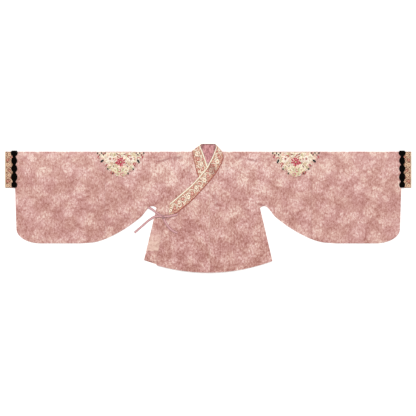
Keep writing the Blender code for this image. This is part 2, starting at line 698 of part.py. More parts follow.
def braid(name, side, material):
    """Builds the lobed black braid over the cuff seam."""
    y = np.linspace(SHOULDER_Y - BRAID_TOP_INSET, CUFF_BOTTOM_Y + BRAID_FOOT_INSET, BRAID_ROWS + 1)
    half = np.full_like(y, BRAID_WAIST)
    for lobe in BRAID_LOBES:
        arc = np.clip(1.0 - ((y - lobe.y) / lobe.half_length) ** 2, 0.0, None)
        half = np.maximum(half, lobe.half_width * np.sqrt(arc))
    across = np.linspace(-1.0, 1.0, 5)
    x = side * (BRAID_X + half[:, None] * across)
    low = inner_top(x, y[:, None] + 0 * x) + SEAM_GAP
    crown = BRAID_CROWN * (1.0 - across ** 2) * (half / half.max())[:, None]
    top = layer(x, y[:, None], low + BRAID_EDGE_THICK + crown)
    return wall(name, top, layer(x, y[:, None], low), material)


def ribbon(name, points, low_of, material):
    """Builds a flat tie of cloth along a route, with its underside at low_of(x, y, share)."""
    line = smooth_path(points, TIE_ROWS + 1)
    run = np.gradient(line, axis=0)
    run = run / np.linalg.norm(run, axis=1, keepdims=True)
    aside = np.stack([-run[:, 1], run[:, 0]], axis=1)
    across = np.linspace(-0.5, 0.5, 3)[:, None]
    plan = line[:, None] + aside[:, None] * across * TIE_WIDTH
    low = low_of(line[:, 0], line[:, 1])[:, None]
    x, y = plan[..., 0], plan[..., 1]
    return wall(name, layer(x, y, low + TIE_THICK), layer(x, y, low), material)


def side_tie_low(x, y):
    """Underside of the tie from the armpit: on the front, then up over the flap's edge."""
    on_flap = smooth_step(*SIDE_TIE_CLIMB_Y, y)
    return inner_top(x, y) + TIE_CLEARANCE + on_flap * LAYER_STEP


def collar_tie_low(x, y):
    """Underside of the collar's tie: on the flap, over the other tie, then down to the surface."""
    on_flap = smooth_step(*COLLAR_TIE_STEP_X, x)
    on_body = smooth_step(*COLLAR_TIE_DROP_X, x)
    return (inner_top(x, y) + TIE_CLEARANCE + on_flap * LAYER_STEP) * on_body


def knot(material):
    """Builds the knot's turn of cloth over the crossing of the ties."""
    around = np.linspace(0.0, 2 * math.pi, 17)[:-1]
    rings = np.linspace(0.0, 1.0, 5)[:, None]
    x = KNOT_CENTRE.x + rings * KNOT_WIDTH / 2 * np.cos(around)
    y = KNOT_CENTRE.y + rings * KNOT_LENGTH / 2 * np.sin(around)
    centre = np.array([KNOT_CENTRE.x]), np.array([KNOT_CENTRE.y])
    low = float((collar_tie_low(*centre) + TIE_THICK + TIE_CLEARANCE)[0])
    dome = low + KNOT_RIM + KNOT_HEIGHT * np.sqrt(1.0 - KNOT_ROUNDING * rings ** 2) + 0 * x
    top = layer(x, y, dome)
    foot = layer(x, y, low)
    return wall("tie_knot", top.transpose(1, 0, 2), foot.transpose(1, 0, 2), material, ring=True)


def build():
    """Empties the scene and builds every piece."""
    for item in list(bpy.data.objects):
        bpy.data.objects.remove(item, do_unlink=True)
    rose = make_material("rose_jacquard", ROSE_JACQUARD)
    brocade = make_material("collar_brocade", COLLAR_BROCADE)
    tie_cloth = make_material("tie_cloth", TIE_CLOTH)
    black = make_material("black_braid", BLACK_BRAID)
    silk = make_material("patch_silk", PATCH_SILK)

    body_half("body_left", 1, CENTRE_SEAM_X, left_front_top, outer_hem_y, outer_top, rose)
    body_half("body_right", -1, -SEAM_GAP / 2, right_front_top, inner_hem_y, inner_top, rose)
    flap_outer(rose)
    flap_inner(rose)
    for name, side in (("left", 1), ("right", -1)):
        sleeve("sleeve_" + name, side, rose)
        cuff("cuff_" + name, side, brocade)
        braid("braid_" + name, side, black)
        patch("patch_" + name, side, silk)
    collar_pieces(
        brocade,
        make_material("cream_piping", CREAM_PIPING),
        make_material("red_piping", RED_PIPING),
    )
    neck_lining(make_material("neck_lining", NECK_LINING))
    ribbon("tie_side", SIDE_TIE, side_tie_low, tie_cloth)
    ribbon("tie_collar", COLLAR_TIE, collar_tie_low, tie_cloth)
    knot(tie_cloth)


build()
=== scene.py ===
"""Looks of a cross-collar jacket with wide pouch sleeves, laid flat with the arms spread.

Metres. +X points to the wearer's left, +Y to the collar and +Z up from the surface.
Every piece of cloth is a thin closed wall on its solid's form, with its creases and seams
in the mesh, and its weave, woven figures or stitching in the material.
"""
from __future__ import annotations

import logging
import math
from dataclasses import dataclass, field
from enum import Enum
from functools import cached_property
from typing import Callable, Optional, Sequence, Union

import bmesh
import bpy
import numpy as np
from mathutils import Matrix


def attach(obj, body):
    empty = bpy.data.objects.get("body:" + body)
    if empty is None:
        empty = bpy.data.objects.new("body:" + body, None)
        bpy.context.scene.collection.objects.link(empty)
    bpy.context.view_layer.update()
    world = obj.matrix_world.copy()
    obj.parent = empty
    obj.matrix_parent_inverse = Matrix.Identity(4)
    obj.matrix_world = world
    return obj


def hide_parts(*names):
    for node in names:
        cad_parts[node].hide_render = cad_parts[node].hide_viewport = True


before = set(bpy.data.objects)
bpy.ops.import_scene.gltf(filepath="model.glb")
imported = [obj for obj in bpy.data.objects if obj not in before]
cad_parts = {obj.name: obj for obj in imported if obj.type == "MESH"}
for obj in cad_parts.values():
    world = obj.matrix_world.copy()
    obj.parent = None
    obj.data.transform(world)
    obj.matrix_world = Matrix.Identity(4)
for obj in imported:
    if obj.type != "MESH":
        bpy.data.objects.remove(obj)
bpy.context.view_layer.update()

LOG = logging.getLogger("jacket")
BODY = "root"
SHARP_ANGLE = math.radians(50.0)

Array = np.ndarray
HeightOf = Callable[[Array, Array], Array]
Triple = tuple[float, float, float]
Row = tuple[float, float, float, float]
Material = bpy.types.Material
Item = bpy.types.Object


class Side(Enum):
    """The wearer's side that a piece is on, with the sign of its x."""

    LEFT = 1
    RIGHT = -1

    @property
    def word(self) -> str:
        """Name of the side in a piece's name."""
        return self.name.lower()


class Slot(Enum):
    """Material slots of the jacket's record."""

    ROSE = "rose_jacquard"
    BROCADE = "collar_brocade"
    CREAM = "cream_piping"
    RED = "red_piping"
    LINING = "neck_lining"
    BRAID = "black_braid"
    SILK = "patch_silk"
    TIE = "tie_cloth"


# Shape helpers


def smooth_step(low: float, high: float, value: Array) -> Array:
    """Runs from 0 at low to 1 at high with level ends: 3 s squared minus 2 s cubed.

    Args:
        low: Value at which the step starts.
        high: Value at which it ends; it may be below low.
        value: Values to place on the step.

    Returns:
        Shares from 0 to 1.
    """
    share = np.clip((value - low) / (high - low), 0.0, 1.0)
    return share * share * (3.0 - 2.0 * share)


def walked(line: Array) -> Array:
    """Length walked from the line's first point to each of its points."""
    steps = np.linalg.norm(np.diff(line, axis=0), axis=1)
    return np.concatenate(([0.0], np.cumsum(steps)))


def even_points(curve: Array, count: int) -> Array:
    """Spaces points evenly along a line of many points, by the length walked so far.

    Args:
        curve: Points of the line, one a row.
        count: Number of points wanted.

    Returns:
        The evenly spaced points, one a row.
    """
    reach = walked(curve)
    wanted = np.linspace(0.0, reach[-1], count)
    return np.stack([np.interp(wanted, reach, column) for column in curve.T], axis=1)


def smooth_path(points: Sequence[Sequence[float]], count: int) -> Array:
    """Gives evenly spaced points on a smooth curve through the given ones.

    Each stretch is a cubic through its two end points, with slopes taken from the
    neighbours, worked out for all of the curve at once.

    Args:
        points: Points that the curve passes through.
        count: Number of points wanted.

    Returns:
        Points on the curve, one a row.
    """
    knots = np.asarray(points, dtype=float)
    reach = walked(knots)
    slopes = np.gradient(knots, reach, axis=0)
    dense = np.linspace(0.0, reach[-1], 40 * len(knots))
    left = np.clip(np.searchsorted(reach, dense, side="right") - 1, 0, len(knots) - 2)
    span = (reach[left + 1] - reach[left])[:, None]
    share = (dense - reach[left])[:, None] / span
    curve = (
        (1 + 2 * share) * (1 - share) ** 2 * knots[left]
        + share * (1 - share) ** 2 * span * slopes[left]
        + share ** 2 * (3 - 2 * share) * knots[left + 1]
        + share ** 2 * (share - 1) * span * slopes[left + 1]
    )
    return even_points(curve, count)


def layer(*parts: Union[Array, float]) -> Array:
    """Stacks positions into points; a single number is spread over all of them."""
    return np.stack(np.broadcast_arrays(*parts), axis=-1)


def headings(line: Array) -> tuple[Array, Array]:
    """Gives the unit direction along a plan line at each point, and the one to its left.

    Args:
        line: Points of the line, one a row.

    Returns:
        Directions along the line and to its left, one a row.
    """
    run = np.gradient(line[:, :2], axis=0)
    run = run / np.linalg.norm(run, axis=1, keepdims=True)
    return run, layer(-run[:, 1], run[:, 0])


# Creases and heights of the laid cloth


@dataclass(frozen=True)
class Crease:
    """A soft ridge, or a trough where its height is below zero, in laid cloth."""

    x0: float
    y0: float
    x1: float
    y1: float
    width: float
    height: float

    def profile(self, x: Array, y: Array) -> Array:
        """Gives its cross shape, e to the minus square of distance over width, fading at both ends.

        Args:
            x: Plan positions.
            y: Plan positions.

        Returns:
            Shares from 0 to 1.
        """
        run = np.array([self.x1 - self.x0, self.y1 - self.y0])
        length = float(np.linalg.norm(run))
        run = run / length
        along = ((x - self.x0) * run[0] + (y - self.y0) * run[1]) / length
        aside = (y - self.y0) * run[0] - (x - self.x0) * run[1]
        fade = smooth_step(-0.1, 0.35, along) * smooth_step(-0.1, 0.35, 1.0 - along)
        return fade * np.exp(-(aside / self.width) ** 2)


def crease_table(*rows: tuple[int, ...]) -> tuple[Crease, ...]:
    """Makes creases from rows in tenths of a millimetre: both ends in plan, width and height."""
    return tuple(Crease(*(part / 10000 for part in row)) for row in rows)


# Folds that the solids share: shoulder, armpit, sleeve and skirt
MAIN_FOLDS = crease_table(
    (-2660, 2420, -1460, 2700, 140, 14), (1560, 2650, 2530, 2420, 140, 14),
    (2530, 230, 3280, 60, 100, 12), (2900, 600, 5200, -700, 260, 16),
    (-2900, 550, -5000, -800, 260, 16), (3000, 1100, 6800, 100, 300, 14),
    (-3000, 1150, -7000, 0, 300, 14), (7400, 1900, 9100, -900, 300, 12),
    (-7200, 2000, -9000, -1000, 300, 12), (1750, -500, 2150, -2600, 220, 12),
    (-1100, -300, -1300, -2500, 220, 12),
)

# Pressed troughs at the shoulders and armpits, and beside the flap, each darkened with painted shade
TROUGHS = crease_table(
    (-2720, 2400, -2120, 2470, 50, -14), (-2400, 2450, -1900, 2600, 45, -13),
    (-1950, 2580, -1240, 2640, 90, -12), (-3160, 30, -3060, 80, 45, -13),
    (1260, 2610, 1850, 2580, 90, -7), (1900, 2570, 2640, 2390, 50, -13),
    (2440, 270, 3060, 60, 45, -14), (1920, -20, 2140, -100, 60, -8), (-2500, 300, -3160, 20, 50, -9),
    (-2170, -660, -1870, -400, 40, -14), (-2000, -455, -1500, -330, 40, -14),
    (-2260, -490, -2040, -480, 34, -14), (-2310, -640, -2070, -1040, 30, -12),
    (-2160, -950, -1760, -1260, 30, -11), (860, 2350, 1050, 1850, 80, -7),
    (-900, 2200, -980, 1600, 70, -6), (300, 900, 480, -100, 120, -6),
    (-2960, -600, -3060, -1700, 80, -6),
)

# Slack of the laid cloth: long waves in the sleeves, ripples at the hem and sleeve foot
SLACK = crease_table(
    (5600, 1300, 7000, -900, 200, 10), (6100, 2500, 6900, 600, 240, 8),
    (6900, -100, 8100, -1500, 160, 11), (8700, 2400, 9600, 500, 180, 9),
    (8100, 700, 8500, -1000, 220, -9), (9300, 200, 9550, -900, 140, 8),
    (3400, 2300, 4200, 300, 240, -8), (4700, 1200, 5100, -500, 180, 8),
    (-5500, 1600, -6500, -600, 220, 10), (-6400, 2300, -7600, 700, 190, 9),
    (-6600, -300, -7600, -1550, 180, 10), (-8500, 2600, -9300, 900, 210, 9),
    (-8300, 500, -8200, -1100, 190, -10), (-9400, 300, -9450, -800, 150, 9),
    (-3700, 2500, -4000, 400, 220, -8), (-4900, 900, -4700, -600, 170, 9),
    (-2750, -1500, -2850, -2900, 120, 9), (-2050, -1900, -2120, -3300, 110, 10),
    (-600, -1300, -680, -3400, 140, 9), (420, -2100, 460, -3400, 100, 7),
    (1050, -1200, 1210, -3350, 150, 10), (2620, -1000, 2860, -2950, 130, 10),
    (700, 1600, 1400, -400, 260, 8), (-1400, 1900, -2000, 300, 220, 8),
    (1900, 2000, 1750, 700, 200, -7), (5900, -1900, 6000, -1350, 100, 8),
    (6500, -1950, 6480, -1300, 120, 9), (7150, -1950, 7230, -1250, 100, 7),
    (7800, -1950, 7740, -1400, 110, 9), (8700, -1900, 8500, -1300, 90, 8),
    (9300, -1700, 8950, -1200, 80, 8), (9700, -1300, 9250, -1000, 80, 7),
    (9950, -500, 9500, -450, 90, 7), (-5800, -1900, -5850, -1300, 120, 9),
    (-6600, -1950, -6680, -1350, 100, 8), (-7300, -1950, -7250, -1200, 120, 8),
    (-8100, -1950, -8000, -1400, 90, 9), (-8900, -1850, -8700, -1250, 90, 8),
    (-9450, -1600, -9050, -1150, 80, 8), (-9850, -1000, -9400, -800, 90, 7),
    (-9950, -200, -9450, -200, 100, 6),
)

# Creases of the hidden back, which lifts off the surface along them
BACK_FOLDS = crease_table(
    (-2500, 2500, -1200, 2300, 120, 10), (1300, 2450, 2700, 2550, 130, 10),
    (-3000, 700, -5100, -500, 220, 14), (2900, 500, 4900, -850, 240, 14),
    (5700, 1900, 7700, -1100, 200, 15), (7600, 2300, 9300, 100, 240, 15),
    (-6000, 2200, -7400, -1200, 240, 15), (-7900, 1800, -9200, -700, 200, 14),
    (-500, 1500, -700, -1400, 180, 10), (-1800, 800, -2100, -2000, 160, 9),
    (2200, 1200, 2300, -1600, 170, 9), (-1000, -1500, -800, -3300, 140, 8),
)


@dataclass(frozen=True)
class Puckers:
    """Small uneven ridges across a seam at one distance from the centre."""

    seam_x: float
    low_y: float
    high_y: float
    least_step: float
    most_step: float
    half_length: float
    seed: int

    def creases(self) -> list[Crease]:
        """Draws the ridges on both sides of the jacket, in uneven steps up the seam.

        Returns:
            One crease for each ridge.
        """
        draw = np.random.default_rng(self.seed)
        made = []
        for sign in (-1.0, 1.0):
            y = self.low_y + draw.uniform(0.0, self.least_step)
            while y < self.high_y:
                reach = self.half_length * draw.uniform(0.55, 1.1)
                tilt = draw.uniform(-0.25, 0.25) * reach
                shift = draw.uniform(-0.3, 0.3) * reach
                start, end = sign * (self.seam_x + shift - reach), sign * (self.seam_x + shift + reach)
                width, height = draw.uniform(0.0035, 0.006), draw.uniform(0.0003, 0.0007)
                made.append(Crease(start, y - tilt, end, y + tilt, width, height))
                y += draw.uniform(self.least_step, self.most_step)
        return made


# Collar rows from the lower end up to the neck: x and y of the inner and the outer edge
OVER_BAND: tuple[Row, ...] = (
    (-0.2012, 0.0008, -0.2053, -0.0344), (-0.1991, 0.018, -0.17, -0.0266),
    (-0.1986, 0.0214, -0.1622, -0.0251), (-0.1966, 0.0242, -0.159, -0.0229),
    (-0.184, 0.0352, -0.1478, -0.0136), (-0.1433, 0.0701, -0.1019, 0.0235),
    (-0.0859, 0.1197, -0.0424, 0.082), (-0.029, 0.1834, 0.0083, 0.1399),
    (-0.0067, 0.2103, 0.0403, 0.1792), (0.0093, 0.2418, 0.0641, 0.2211), (0.0228, 0.2666, 0.075, 0.246),
    (0.0352, 0.2987, 0.0781, 0.2723), (0.045, 0.3251, 0.0714, 0.2941),
)
UNDER_BAND: tuple[Row, ...] = (
    (0.006, 0.199, -0.044, 0.15), (-0.0021, 0.2149, -0.0533, 0.1668), (-0.0134, 0.2475, -0.0678, 0.219),
    (-0.0248, 0.2811, -0.0766, 0.2542), (-0.044, 0.326, -0.0838, 0.2961),
)


@dataclass(frozen=True)
class LaidJacket:
    """Plan outlines of the jacket and heights of its layers, shared by all its pieces."""

    cloth: float = 0.0015
    seam_gap: float = 0.0003
    centre_x: float = 0.009
    centre_seam_x: float = 0.0088
    # x of a line of painted shade beside the centre seam
    centre_shade_line_x: float = 0.0104
    # Rise of the hem's fold line, which gets painted shade
    hem_fold: float = 0.03
    # Trough depth that gives full painted shade
    trough_depth: float = 0.0014
    flap_top_x: float = -0.2012
    flap_top_y: float = 0.0008
    fold_height: float = 0.0036
    layer_step: float = 0.0026
    shoulder_y: float = 0.2925
    collar_top_y: float = 0.3333
    hem_y: float = -0.3333
    hem_rise: float = 0.0593
    hem_corner_x: float = 0.331
    back_hem_lift: float = 0.005
    inner_hem: float = -0.2964
    inner_hem_rise: float = 0.0274
    side_top_x: float = 0.2665
    side_top_y: float = 0.003
    sleeve_seam_x: float = 0.533
    sleeve_end_x: float = 0.998
    sleeve_bottom_y: float = -0.182
    corner_x: float = 0.866
    corner_y: float = -0.107
    turn_x: float = 0.9915
    cuff_bottom_y: float = 0.105
    half_span: float = 1.05
    flap_foot_x: float = -0.2674
    flap_bow: float = 0.008
    neck_half: float = 0.07
    neck_drop: float = 0.0165
    neckline_share: float = 0.6
    body_puff: float = 0.0014
    sleeve_puff: float = 0.0032
    cuff_puff: float = 0.0008
    puff_reach: float = 0.05
    underarm_points: tuple[tuple[float, float], ...] = (
        (0.2665, 0.003), (0.283, 0.011), (0.353, -0.049), (0.43, -0.105), (0.49, -0.139),
        (0.578, -0.174), (0.663, -0.182),
    )

    @cached_property
    def underarm(self) -> Array:
        """Points along the underarm, from the armpit to the sleeve's level bottom."""
        return smooth_path(self.underarm_points, 200)

    @cached_property
    def outline(self) -> Array:
        """Points along a sleeve's sewn edge: underarm, round corner, then up to the cuff.

        Returns:
            Points of the edge, one a row.
        """
        turn = np.linspace(math.pi / 2, 0.0, 40)
        corner = layer(
            self.corner_x + (self.turn_x - self.corner_x) * np.cos(turn),
            self.corner_y + (self.sleeve_bottom_y - self.corner_y) * np.sin(turn),
        )
        end = np.array([[self.sleeve_end_x, self.cuff_bottom_y]])
        return np.concatenate([smooth_path(self.underarm_points, 60), corner, end])

    @cached_property
    def sewn_edge(self) -> Array:
        """Points on all that is sewn shut at one side: body side, sleeve and cuff bottom.

        Returns:
            Evenly spaced points, one a row.
        """
        side = np.array([
            [self.hem_corner_x, self.hem_y + self.hem_rise],
            [self.side_top_x, self.side_top_y],
        ])
        cuff = np.array([[self.half_span, self.cuff_bottom_y]])
        return even_points(np.concatenate([side, self.outline, cuff]), 260)

    @cached_property
    def puckers(self) -> list[Crease]:
        """Puckers at the sleeve seams, the cuff seams and down the centre front.

        Returns:
            One crease for each pucker.
        """
        rows = (
            Puckers(self.sleeve_seam_x, -0.15, 0.285, 0.016, 0.036, 0.017, 11),
            Puckers(self.sleeve_end_x - 0.008, 0.11, 0.288, 0.01, 0.022, 0.016, 12),
            Puckers(self.centre_seam_x, -0.32, 0.15, 0.018, 0.04, 0.012, 13),
        )
        return [crease for row in rows for crease in row.creases()]

    def edge_distance(self, x: Array, y: Array) -> Array:
        """Gives the distance in plan to the nearest sewn edge, row by row of the grid.

        Args:
            x: Plan positions.
            y: Plan positions.

        Returns:
            Distances in metres.
        """
        edge = self.sewn_edge
        rows = zip(np.atleast_2d(np.abs(x)), np.atleast_2d(y))
        near = [
            np.sqrt(((a[:, None] - edge[:, 0]) ** 2 + (b[:, None] - edge[:, 1]) ** 2).min(axis=1))
            for a, b in rows
        ]
        return np.array(near).reshape(np.shape(x))

    def hem_of(self, x: Array) -> Array:
        """Hem line of the outer front: a shallow arc that rises to the corners."""
        return self.hem_y + self.hem_rise * np.minimum(np.abs(x) / self.hem_corner_x, 1.0) ** 2

    def back_hem_of(self, x: Array) -> Array:
        """Hem line of the back, a little shorter than the front."""
        return self.hem_of(x) + self.back_hem_lift

    def inner_hem_of(self, x: Array) -> Array:
        """Hem line of the inner front."""
        return self.inner_hem + self.inner_hem_rise * (x / self.hem_corner_x) ** 2

    def calm(self, x: Array, y: Array) -> tuple[Array, Array, Array]:
        """Gives how free the cloth is: by its shoulder fold, by its sewn edge, and both, capped.

        Args:
            x: Plan positions.
            y: Plan positions.

        Returns:
            Three shares from 0 to 1.
        """
        near_shoulder = 1.0 - np.exp(-np.clip(self.shoulder_y - y, 0.0, None) / self.puff_reach)
        near_edge = 1.0 - np.exp(-self.edge_distance(x, y) / self.puff_reach)
        both = np.minimum(1.0, 3.0 * near_shoulder) * np.minimum(1.0, 3.0 * near_edge)
        return near_shoulder, near_edge, both

    def puff(self, x: Array, y: Array) -> Array:
        """Gives how far the top layer stands above its sewn edges and the shoulder fold.

        It is a size that grows from body to sleeve, faded with e to the minus distance over
        a reach, plus the creases, faded at the same edges.

        Args:
            x: Plan positions.
            y: Plan positions.

        Returns:
            Heights in metres.
        """
        out = np.abs(x)
        in_sleeve = smooth_step(0.2, 0.5, out)
        in_cuff = smooth_step(0.8, 1.0, out)
        size = self.body_puff + (self.sleeve_puff - self.body_puff) * in_sleeve
        size = size + (self.cuff_puff - self.sleeve_puff) * in_cuff
        near_shoulder, near_edge, calm = self.calm(x, y)
        near_hem = 0.35 + 0.65 * smooth_step(0.0, 0.1, y - self.hem_of(x))
        total = size * near_shoulder * near_edge * near_hem
        for crease in MAIN_FOLDS + SLACK:
            total = total + crease.height * crease.profile(x, y) * calm
        for crease in TROUGHS + tuple(self.puckers):
            total = total + crease.height * crease.profile(x, y) * np.minimum(1.0, 2.0 * near_shoulder)
        return np.maximum(total, 0.0)

    def hollow(self, x: Array, y: Array) -> Array:
        """Gives the painted shade of a point, from 0 to 1: darker the deeper it lies in a pressed trough, and
        along the seams and the hem fold.

        Args:
            x: Plan positions.
            y: Plan positions.

        Returns:
            Painted shade from 0 to 1, darker the deeper the point lies.
        """
        total = np.zeros_like(x)
        # Painted shade in the pressed troughs, darker the deeper the trough
        for crease in TROUGHS:
            total = np.maximum(total, -crease.height / self.trough_depth * crease.profile(x, y))
        # Painted shade along the sleeve seams and a line beside the centre seam
        for seam_x, reach in ((self.sleeve_seam_x, 0.0022), (self.centre_shade_line_x, 0.002)):
            middle = np.abs(x) if seam_x > 0.1 else x
            on_seam = np.exp(-((middle - seam_x) / reach) ** 2)
            total = np.maximum(total, 0.2 * on_seam * (y < self.shoulder_y))
        # Painted shade along the hem's fold line
        hem = self.hem_of(x) + self.hem_fold
        total = np.maximum(total, 0.2 * np.exp(-((y - hem) / 0.0016) ** 2) * (np.abs(x) < 0.33))
        return np.clip(total, 0.0, 1.0)

    def flap_edge(self, y: Array) -> Array:
        """Gives x of the outer flap's free edge, which bows out a little on its way down.

        Args:
            y: Plan positions.

        Returns:
            x at each y.
        """
        top_x, top_y = self.flap_top_x, self.flap_top_y
        down = np.clip((y - top_y) / (self.hem_of(np.array(self.flap_foot_x)) - top_y), 0.0, 1.0)
        return top_x + (self.flap_foot_x - top_x) * down - self.flap_bow * np.sin(math.pi * down)

    def seam_dip(self, x: Array, y: Array) -> Array:
        """Depth of the grooves along the sleeve seams and the centre front seam.

        Args:
            x: Plan positions.
            y: Plan positions.

        Returns:
            Depths in metres.
        """
        sleeve = np.exp(-((np.abs(x) - self.sleeve_seam_x) / 0.002) ** 2)
        centre = np.exp(-((x - self.centre_seam_x) / 0.0018) ** 2) * smooth_step(0.175, 0.16, y)
        return 0.0006 * (sleeve + centre) * smooth_step(0.0, 0.01, self.shoulder_y - y)

    def overlap(self, x: Array, y: Array) -> Array:
        """Lifts the outermost layer over the one it covers, and lowers it to side and shoulder."""
        below_shoulder = smooth_step(0.0, 0.08, self.shoulder_y - y)
        return self.layer_step * smooth_step(0.25, 0.08, x) * below_shoulder

    def inner_top(self, x: Array, y: Array) -> Array:
        """Top face of a layer that lies straight on the back."""
        return self.fold_height + self.puff(x, y)

    def outer_top(self, x: Array, y: Array) -> Array:
        """Top face of the outermost front layer."""
        return self.inner_top(x, y) + self.overlap(x, y)

    def back_lift(self, x: Array, y: Array) -> Array:
        """Gives how far the back stands off the surface along its own creases.

        It stays below six tenths of the room under the front, and at zero below the
        hidden inner flap.

        Args:
            x: Plan positions.
            y: Plan positions.

        Returns:
            Heights in metres.
        """
        total = np.zeros_like(x)
        for crease in BACK_FOLDS:
            total = total + crease.height * crease.profile(x, y)
        room = 0.6 * self.puff(x, y) * self.calm(x, y)[2]
        clear = 1.0 - smooth_step(-0.03, 0.0, x) * smooth_step(0.205, 0.175, x) * (y < 0.25)
        return np.minimum(total, room) * clear

    def neckline(self, rows: Sequence[Row]) -> Array:
        """Gives the cut edge of a front under the collar band, in rising x.

        Args:
            rows: Rows of the band that covers it.

        Returns:
            Points of the edge, one a row.
        """
        inner, outer = band_edges(rows, 60)
        line = inner + (outer - inner) * self.neckline_share
        return line[np.argsort(line[:, 0])]

    def left_front_top(self, x: Array) -> Array:
        """Upper edge of the wearer's left front."""
        line = self.neckline(OVER_BAND)
        return np.where(x < self.neck_half - 1e-6, np.interp(x, line[:, 0], line[:, 1]), self.shoulder_y)

    def right_front_top(self, x: Array) -> Array:
        """Upper edge of the wearer's right front, whose x is below zero."""
        line = self.neckline(UNDER_BAND)
        return np.where(x > -self.neck_half + 1e-6, np.interp(x, line[:, 0], line[:, 1]), self.shoulder_y)

    def back_neck(self, x: Array) -> Array:
        """Back neckline: a shallow scoop between the neck points."""
        return self.shoulder_y - self.neck_drop * np.clip(1.0 - (x / self.neck_half) ** 2, 0.0, None)


def band_edges(rows: Sequence[Row], count: int) -> tuple[Array, Array]:
    """Gives the inner and outer edge of a collar stretch, count points on each."""
    table = np.asarray(rows, dtype=float)
    return smooth_path(table[:, :2], count), smooth_path(table[:, 2:], count)


# Meshes


@dataclass
class Sheet:
    """A cloth wall being made: its points, its faces and what each point carries."""

    points: Array
    faces: list[list[int]]
    uv: Optional[Array] = None
    marks: Optional[dict[str, Array]] = None

    def piece(self, name: str, material: Material, shift: tuple[float, float] = (0.0, 0.0)) -> Item:
        """Turns the wall into a named object at the origin, with outward faces.

        Args:
            name: Name of the new object.
            material: Its one material.
            shift: How far the pattern is moved, where it lies straight on the plan.

        Returns:
            The object, linked to the scene.
        """
        used = np.unique(np.concatenate([np.asarray(face) for face in self.faces]))
        place = np.full(len(self.points), -1)
        place[used] = np.arange(len(used))
        mesh = bpy.data.meshes.new(name)
        faces = [place[face].tolist() for face in self.faces]
        mesh.from_pydata(self.points[used].tolist(), [], faces)
        turned = bmesh.new()
        turned.from_mesh(mesh)
        bmesh.ops.recalc_face_normals(turned, faces=turned.faces)
        turned.to_mesh(mesh)
        turned.free()
        for mark, values in (self.marks or {}).items():
            kind, part = ("FLOAT_COLOR", "color") if values.ndim == 2 else ("FLOAT", "value")
            attribute = mesh.attributes.new(mark, kind, "POINT")
            attribute.data.foreach_set(part, values[used].astype(np.float32).ravel())
        uv = self.points[:, :2] + np.asarray(shift) if self.uv is None else self.uv
        corner = np.empty(len(mesh.loops), dtype=np.int32)
        mesh.loops.foreach_get("vertex_index", corner)
        uv_map = mesh.uv_layers.new(name="UVMap")
        uv_map.data.foreach_set("uv", uv[used][corner].astype(np.float32).ravel())
        mesh.materials.append(material)
        mesh.shade_smooth()
        mesh.set_sharp_from_angle(angle=SHARP_ANGLE)
        mesh.update()
        item = bpy.data.objects.new(name, mesh)
        bpy.context.scene.collection.objects.link(item)
        return item


def cell_corners(nodes: Array) -> tuple[Array, ...]:
    """Gives the four corners of every cell in a grid of node numbers."""
    return nodes[:-1, :-1], nodes[:-1, 1:], nodes[1:, 1:], nodes[1:, :-1]


def wall_faces(
    rows: int, columns: int, cells: Optional[Array] = None, ring: bool = False, joined: Sequence[int] = ()
) -> Array:
    """Gives the four-sided faces of a closed wall between two matching grids.

    Nodes of the outer grid come first, row by row, then those of the inner grid. Each
    cloth cell gives one face on either grid, and each edge that only one cell uses is
    closed by a face across the wall's thickness.

    Args:
        rows: Rows of each grid.
        columns: Columns of each grid.
        cells: Which cells are cloth, or None for all of them.
        ring: Whether the last row joins the first.
        joined: Codes of the edges that are sewn to another edge and stay open here.

    Returns:
        Faces as rows of four node numbers.
    """
    count = rows * columns
    nodes = np.arange(count).reshape(rows, columns)
    if ring:
        nodes = np.concatenate([nodes, nodes[:1]])
    if cells is None:
        cells = np.ones((len(nodes) - 1, columns - 1), dtype=bool)
    outer = layer(*(corner[cells] for corner in cell_corners(nodes)))
    edges = np.concatenate([outer[:, [a, (a + 1) % 4]] for a in range(4)])
    code = edges.min(axis=1) * count + edges.max(axis=1)
    _, first, uses = np.unique(code, return_index=True, return_counts=True)
    rim = first[uses == 1]
    rim = rim[~np.isin(code[rim], joined)]
    start, end = edges[rim, 0], edges[rim, 1]
    across = layer(end, start, start + count, end + count)
    return np.concatenate([outer, outer[:, ::-1] + count, across])


def closed_wall(
    outer: Array,
    inner: Array,
    ring: bool = False,
    uv: Optional[Array] = None,
    marks: Optional[dict[str, Array]] = None,
) -> Sheet:
    """Builds one closed cloth wall from two matching grids of points.

    Args:
        outer: Points of the outer face, rows by columns by three.
        inner: Points of the inner face.
        ring: Whether the last row joins the first.
        uv: Pattern positions of the grid's nodes, rows by columns by two.
        marks: Named values of the grid's nodes, rows by columns.

    Returns:
        The wall.
    """
    rows, columns = outer.shape[:2]
    faces = wall_faces(rows, columns, ring=ring)
    points = np.concatenate([outer.reshape(-1, 3), inner.reshape(-1, 3)])
    both = None if uv is None else np.tile(uv.reshape(-1, 2), (2, 1))
    carried = {name: np.tile(value.ravel(), 2) for name, value in (marks or {}).items()}
    return Sheet(points, faces.tolist(), both, carried)


def tube_faces(rows: int, sides: int) -> list[list[int]]:
    """Gives the faces of a closed cord with flat ends, whose points go round ring by ring.

    Args:
        rows: Rings of the cord.
        sides: Points in each ring.

    Returns:
        Faces as lists of node numbers.
    """
    nodes = np.arange(rows * sides).reshape(rows, sides)
    nodes = np.concatenate([nodes, nodes[:, :1]], axis=1)
    quads = layer(*cell_corners(nodes)).reshape(-1, 4)
    return quads.tolist() + nodes[[0, -1], :-1].tolist()


def rolled(along: Array, around: Array) -> Array:
    """Gives the pattern positions of a cord's points, ring by ring."""
    return layer(np.repeat(along, len(around)), np.tile(around, len(along)))


